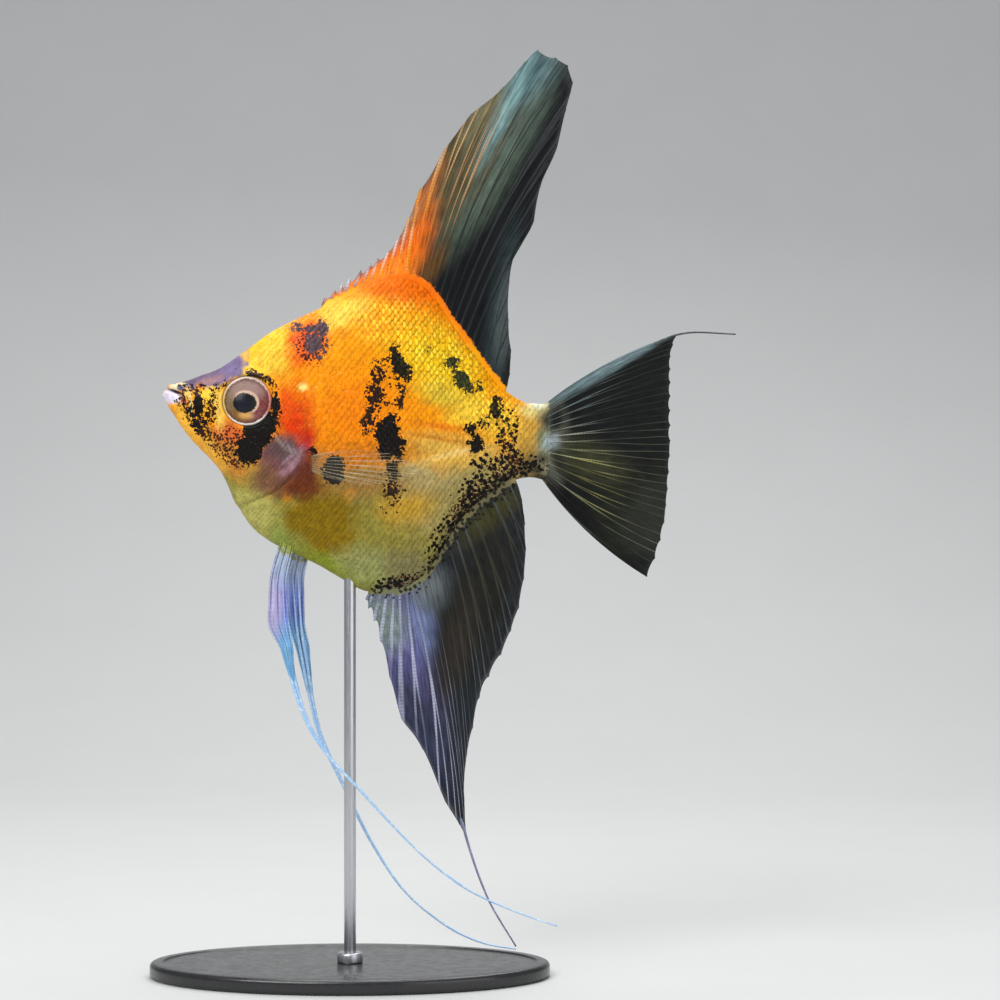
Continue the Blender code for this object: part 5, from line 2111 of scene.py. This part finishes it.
@dataclass
class EdgedFin(Fin):
    """A narrow fin whose rays run between a front and a rear edge."""

    front: Points = ()
    rear: Points = ()

    def sheet(self, number: Array, out: Array) -> tuple[Array, Array]:
        """Points of the fin's middle sheet, and each point's way out along its ray.

        Args:
            number: Ray numbers, with fractions.
            out: Shares of the way from root to edge.

        Returns:
            The points and the ways out.
        """
        share = (number / (len(self.roots) - 1))[:, None]
        front, rear = smooth_path(self.front, out), smooth_path(self.rear, out)
        flat = front + (rear - front) * share
        fold = self.fold * np.sin(2 * np.pi * number / 2.0) * np.sin(np.pi * out) ** 0.5
        y = self.root_y + (self.tip_y - self.root_y) * out + fold
        height = self.front[0][1] - self.front[-1][1]
        return np.stack((flat[:, 0], y, flat[:, 1]), -1), height * out


@dataclass(frozen=True)
class FilamentGloss:
    """A pale, jointed filament with bluer flanks."""

    name: str
    core: Colour
    flank: Colour

    def make(self) -> Finish:
        """Build the material.

        Returns:
            The material.
        """
        recipe = Recipe(self.name)
        joints = recipe.ramp(recipe.dots(0.7), 0.1, 0.5, 0.0, 0.7)
        shade = recipe.mix(joints, self.core, self.flank)
        shade = recipe.mix(recipe.ramp(recipe.noise(5.0), 0.4, 0.65, 0.0, 0.5), shade, self.flank)
        recipe.gloss(Base_Color=shade, Coat_Weight=0.3, Coat_Roughness=0.15,
                     Roughness=recipe.spread(recipe.noise(0.8), 0.28, 0.42))
        recipe.relief(recipe.noise(0.25), 0.04, 0.5)
        return recipe.material


@dataclass
class Filament:
    """A long round filament that tapers along its way."""

    name: str
    way: Points
    thick: float = 0.42
    thin: float = 0.16
    steps: int = 120
    swell: float = 0.0
    start_share: float = 0.2

    def build(self, finish: Finish) -> Piece:
        """Make the filament: a round section drawn along a smooth curve.

        Args:
            finish: Its material.

        Returns:
            The object.
        """
        curve = bpy.data.curves.new(self.name, "CURVE")
        curve.dimensions = "3D"
        curve.bevel_depth = MM
        curve.bevel_resolution = 3
        curve.use_fill_caps = True
        spline = curve.splines.new("POLY")
        spline.points.add(self.steps - 1)
        share = np.linspace(0.0, 1.0, self.steps)
        places = smooth_path(self.way, share) * MM
        for point, place, t in zip(spline.points, places, share):
            point.co = (*place, 1.0)
            grown = min(1.0, self.start_share + t / self.swell) if self.swell else 1.0
            point.radius = (self.thick + (self.thin - self.thick) * t) * grown
        made = bpy.data.objects.new(self.name, curve)
        bpy.context.scene.collection.objects.link(made)
        curve.materials.append(finish)
        deselect()
        made.select_set(True)
        bpy.context.view_layer.objects.active = made
        bpy.ops.object.convert(target="MESH")
        bpy.ops.object.mode_set(mode="EDIT")
        bpy.ops.mesh.select_all(action="SELECT")
        bpy.ops.mesh.remove_doubles(threshold=1e-7)
        face_out(bpy.context.object)
        return bpy.context.object


def joined(name: str, pieces: list[Piece]) -> Piece:
    """Join pieces into one, under a name.

    Args:
        name: The new piece's name.
        pieces: What is joined.

    Returns:
        The joined piece.
    """
    deselect()
    for piece in pieces:
        piece.select_set(True)
    bpy.context.view_layer.objects.active = pieces[0]
    bpy.ops.object.join()
    made = bpy.context.object
    made.name = made.data.name = name
    return made


@dataclass
class PelvicFins:
    """The two narrow fins under the throat, each drawn out into long paired filaments."""

    left_front: Points = (
        (-12.6, 90), (-13.9, 86.2), (-15.8, 78.6), (-16.1, 71.1), (-13.7, 65.9),
        (-12.4, 61.9), (-10.7, 56.9),
    )
    left_rear: Points = (
        (-10.6, 89), (-11.4, 85), (-12.6, 78.6), (-12, 71.1), (-11.2, 65.9),
        (-10.9, 61.9), (-9.7, 56.9),
    )
    right_front: Points = (
        (-10.8, 89), (-11.6, 85.2), (-13.2, 78.6), (-12.6, 71.1), (-11.1, 65.6),
        (-10.1, 61.3), (-8.9, 56.3),
    )
    right_rear: Points = (
        (-8, 88), (-8.6, 84), (-9.5, 78.6), (-9.4, 71.1), (-8.4, 65.6),
        (-8.1, 61.3), (-7.7, 56.3),
    )
    left_way: Points = (
        (-13, 80), (-12.6, 70), (-11.6, 62), (-10.1, 56.4), (-8.2, 51.2),
        (-4.1, 44.6), (2.8, 37.1), (10.9, 28.4), (15.7, 23.8), (23.8, 17.8),
        (33.8, 13.3), (41.3, 10.7),
    )
    right_way: Points = (
        (-11, 80), (-10.4, 70), (-9.2, 62), (-8.2, 55.8), (-6.5, 48.6),
        (-1.7, 37.9), (4.2, 26), (10.6, 16.5), (16.1, 11.5), (21.9, 7.7),
        (27.8, 5.5), (33.2, 4.6),
    )
    root_y: float = 1.1
    tip_y: float = 4.6
    pair_gap: float = 0.55
    paired_for: float = 7.5
    proud: float = 0.25
    tucked: float = 0.1
    rays: int = 6

    def blade(self, side: Side) -> Piece:
        """Make one fin's blade.

        Args:
            side: The side of the fish.

        Returns:
            The piece.
        """
        left = side is Side.LEFT
        washes = (
            Patch(-15.6, 74.0, 2.2, 10.0, 0.0, colour(184, 172, 212), 0.6),
            Patch(-12.0, 82.6, 6.0, 4.0, -20.0, colour(176, 190, 214), 0.8),
            Patch(-8.6, 60.0, 2.4, 9.0, 0.0, colour(150, 200, 240), 0.6),
            Patch(-11.6, 63.0, 3.0, 7.0, 0.0, colour(116, 176, 226), 0.6),
        )
        fin = EdgedFin(
            f"pelvic_web_{side.word}", ((0.0, 0.0),) * self.rays, ((0.0, 0.0),) * self.rays,
            (0.0,) * self.rays, 0.0, columns=12, rows=96, ray_half=0.22, root_half=0.6,
            root_fade=3.0, split_to=0.2, ray_share=0.2, fold=0.26, sheath=3.6, tucked=False,
            root_y=side.value * self.root_y, tip_y=side.value * self.tip_y,
            web=colour(122, 132, 210), ray=colour(196, 216, 248), web_washes=washes,
            ray_washes=(Patch(-11.4, 62.0, 4.0, 8.0, 0.0, colour(196, 240, 246), 0.6),),
            front=self.left_front if left else self.right_front,
            rear=self.left_rear if left else self.right_rear,
        )
        return fin.build("blue_fin", f"pelvic_fin_{side.word}")

    def streamer(self, side: Side) -> Piece:
        """Make one fin's pair of trailing filaments.

        Args:
            side: The side of the fish.

        Returns:
            The piece.
        """
        way = self.left_way if side is Side.LEFT else self.right_way
        finish = FilamentGloss("streamer_blue", colour(226, 246, 255), colour(140, 190, 240)).make()
        pieces = []
        for number, lean in enumerate((-1, 1)):
            points = []
            for i, (x, z) in enumerate(way):
                apart = lean * self.pair_gap * max(0.0, 1 - i / self.paired_for)
                y = self.root_y + (self.tip_y - self.root_y) * min(1.0, i / 3)
                y += self.proud * min(1.0, i / 2) - self.tucked
                points.append((x + apart, side.value * y, z - 0.25 * apart))
            length = points if number == 0 else points[:-2]
            pieces.append(
                Filament(f"filament_{number}", tuple(length), 0.36, 0.14, swell=0.2).build(finish)
            )
        piece = joined(f"pelvic_filaments_{side.word}", pieces)
        stem = f"pelvic_streamer_{side.word}"
        return settle(piece, "blue_fin", f"{stem}_upper", f"{stem}_lower")

    def build(self) -> None:
        """Make both fins."""
        for side in Side:
            self.blade(side)
            self.streamer(side)


@dataclass
class TrailingTips:
    """The drawn-out tips of the anal fin and the tail fan."""

    anal_way: Points = (
        (20.6, 3, 36), (22.6, 0.9, 30), (23.35, 0.9, 27.2), (25, 0.6, 22),
        (27.8, 0.3, 15), (33.2, 0, 5.9),
    )
    tail_way: Points = (
        (61, 0.6, 126.5), (63.4, 0.75, 127.6), (65.8, 0.8, 128.4), (69.6, 0.8, 128.8),
        (77.2, 0.8, 128.4),
    )

    def build(self) -> None:
        """Make both tips."""
        finish = FilamentGloss("tip_grey", colour(176, 184, 214), colour(84, 90, 120)).make()
        piece = Filament("anal_tip", self.anal_way, 0.34, 0.16, 60).build(finish)
        settle(piece, "dark_fin", "anal_streamer")
        finish = FilamentGloss("tip_dark", colour(96, 104, 104), colour(44, 50, 52)).make()
        piece = Filament("tail_tip", self.tail_way, 0.34, 0.16, 60).build(finish)
        settle(piece, "dark_fin", "tail_streamer")


@dataclass
class PectoralFins:
    """The clear side fins behind the gill covers, with thin pale rays."""

    tips: Points = (
        (1, 105), (5, 105), (9.4, 104), (12.4, 102.6), (14.2, 101.2),
        (13.6, 100), (11, 99.2), (7.6, 98.5), (4, 98.2), (0.6, 98.6),
    )
    root_x: float = -7.6
    root_top: float = 103.8
    root_foot: float = 101.0
    root_y: float = 6.7
    tip_y: float = 10.2

    def build(self) -> None:
        """Make both fins."""
        count = len(self.tips)
        drop = (self.root_foot - self.root_top) / (count - 1)
        roots = tuple((self.root_x, self.root_top + drop * i) for i in range(count))
        bows = tuple(0.05 - 0.1 * i / (count - 1) for i in range(count))
        everywhere = (Patch(3.0, 101.5, 16.0, 9.0),)
        for side in Side:
            Fin(f"pectoral_web_{side.word}", roots, self.tips, bows, 0.3, columns=12, rows=60,
                web_half=0.04, ray_half=0.13, root_half=0.4, root_fade=1.6, scallop=0.25,
                ray_share=0.07, fold=0.12, sheath=0.3, ray_clear=0.6, root_y=side.value * self.root_y,
                tip_y=side.value * self.tip_y, web=colour(196, 178, 120),
                ray=colour(255, 250, 230), clear_patches=everywhere, clear_most=0.985,
                ).build("clear_fin", f"pectoral_fin_{side.word}")


@dataclass(frozen=True)
class SatinBlack:
    """Moulded black acrylic with a fine satin grain."""

    name: str = "satin_black"

    def make(self) -> Finish:
        """Build the material.

        Returns:
            The material.
        """
        recipe = Recipe(self.name)
        shade = recipe.mix(recipe.noise(6.0), colour(20, 20, 22), colour(30, 30, 33))
        recipe.gloss(Base_Color=shade, Coat_Weight=0.35, Coat_Roughness=0.12,
                     Roughness=recipe.spread(recipe.noise(2.0), 0.24, 0.36))
        recipe.relief(recipe.noise(0.3, 2.0), 0.01, 0.35)
        return recipe.material


@dataclass(frozen=True)
class BrushedSteel:
    """Steel brushed along the rod."""

    name: str = "brushed_steel"

    def make(self) -> Finish:
        """Build the material.

        Returns:
            The material.
        """
        recipe = Recipe(self.name)
        stretch = recipe.add("ShaderNodeMapping")
        recipe.feed(stretch.inputs["Vector"], recipe.places)
        stretch.inputs["Scale"].default_value = (1.0, 1.0, 0.02)
        grain = recipe.noise(0.12, 3.0, 0.6, stretch.outputs[0])
        shade = recipe.mix(grain, colour(176, 178, 182), colour(214, 215, 217))
        recipe.gloss(Base_Color=shade, Metallic=1.0,
                     Roughness=recipe.spread(grain, 0.22, 0.38))
        recipe.relief(grain, 0.01, 0.4)
        return recipe.material


@dataclass
class Stand:
    """The oval foot and the thin rod up to the belly, with a collar at the rod's foot."""

    length: float = 80.0
    width: float = 46.0
    thickness: float = 3.0
    edge: float = 0.9
    rod: float = 1.2
    rod_low: float = 1.3
    rod_high: float = 83.7
    rod_edge: float = 0.2
    collar: float = 2.6
    collar_height: float = 1.8
    collar_sunk: float = 0.4
    collar_edge: float = 0.5
    rim_width: float = 2.4
    step_width: float = 0.3
    step_depth: float = 0.25

    def foot(self) -> Piece:
        """Make the foot: an oval plate with a rounded rim and a shallow step round its top.

        Returns:
            The piece.
        """
        deselect()
        bpy.ops.mesh.primitive_cylinder_add(
            vertices=128, radius=0.5, depth=1.0,
            location=(0.0, 0.0, self.thickness / 2 * MM),
            scale=(self.length * MM, self.width * MM, self.thickness * MM),
        )
        bpy.ops.object.transform_apply(location=True, rotation=True, scale=True)
        piece = name_new("foot", SatinBlack().make())
        bpy.ops.object.mode_set(mode="EDIT")
        bpy.ops.mesh.select_all(action="DESELECT")
        bpy.ops.object.mode_set(mode="OBJECT")
        for face in piece.data.polygons:
            face.select = face.normal.z > 0.5
        bpy.ops.object.mode_set(mode="EDIT")
        bpy.ops.mesh.inset(thickness=self.rim_width * MM, depth=0.0)
        bpy.ops.mesh.inset(thickness=self.step_width * MM, depth=-self.step_depth * MM)
        bpy.ops.object.mode_set(mode="OBJECT")
        round_edges(piece, self.edge, 5, 60.0)
        return settle(piece, "stand_black", "stand_base")

    def post(self) -> Piece:
        """Make the rod and its collar.

        Returns:
            The piece.
        """
        finish = BrushedSteel().make()
        pieces = []
        for name, radius, low, high, soft in (
            ("rod", self.rod, self.rod_low, self.rod_high, self.rod_edge),
            ("collar", self.collar, self.thickness - self.collar_sunk,
             self.thickness + self.collar_height, self.collar_edge),
        ):
            deselect()
            bpy.ops.mesh.primitive_cylinder_add(
                vertices=64, radius=radius * MM, depth=(high - low) * MM,
                location=(0.0, 0.0, (low + high) / 2 * MM),
            )
            bpy.ops.object.transform_apply(location=True)
            made = name_new(name, finish)
            round_edges(made, soft, 4)
            pieces.append(made)
        return settle(joined("post", pieces), "stand_steel", "stand_rod")

    def build(self) -> None:
        """Make the stand."""
        self.foot()
        self.post()


def main() -> None:
    """Build the fish, its stand and the studio, in order."""
    logging.basicConfig(level=logging.INFO, format="%(name)s: %(message)s")
    SKIN.build()
    ScaleCoat().build()
    Eyes().build()
    Fins().build()
    PelvicFins().build()
    PectoralFins().build()
    TrailingTips().build()
    Stand().build()
    Studio().build()


if __name__ == "__main__":
    main()
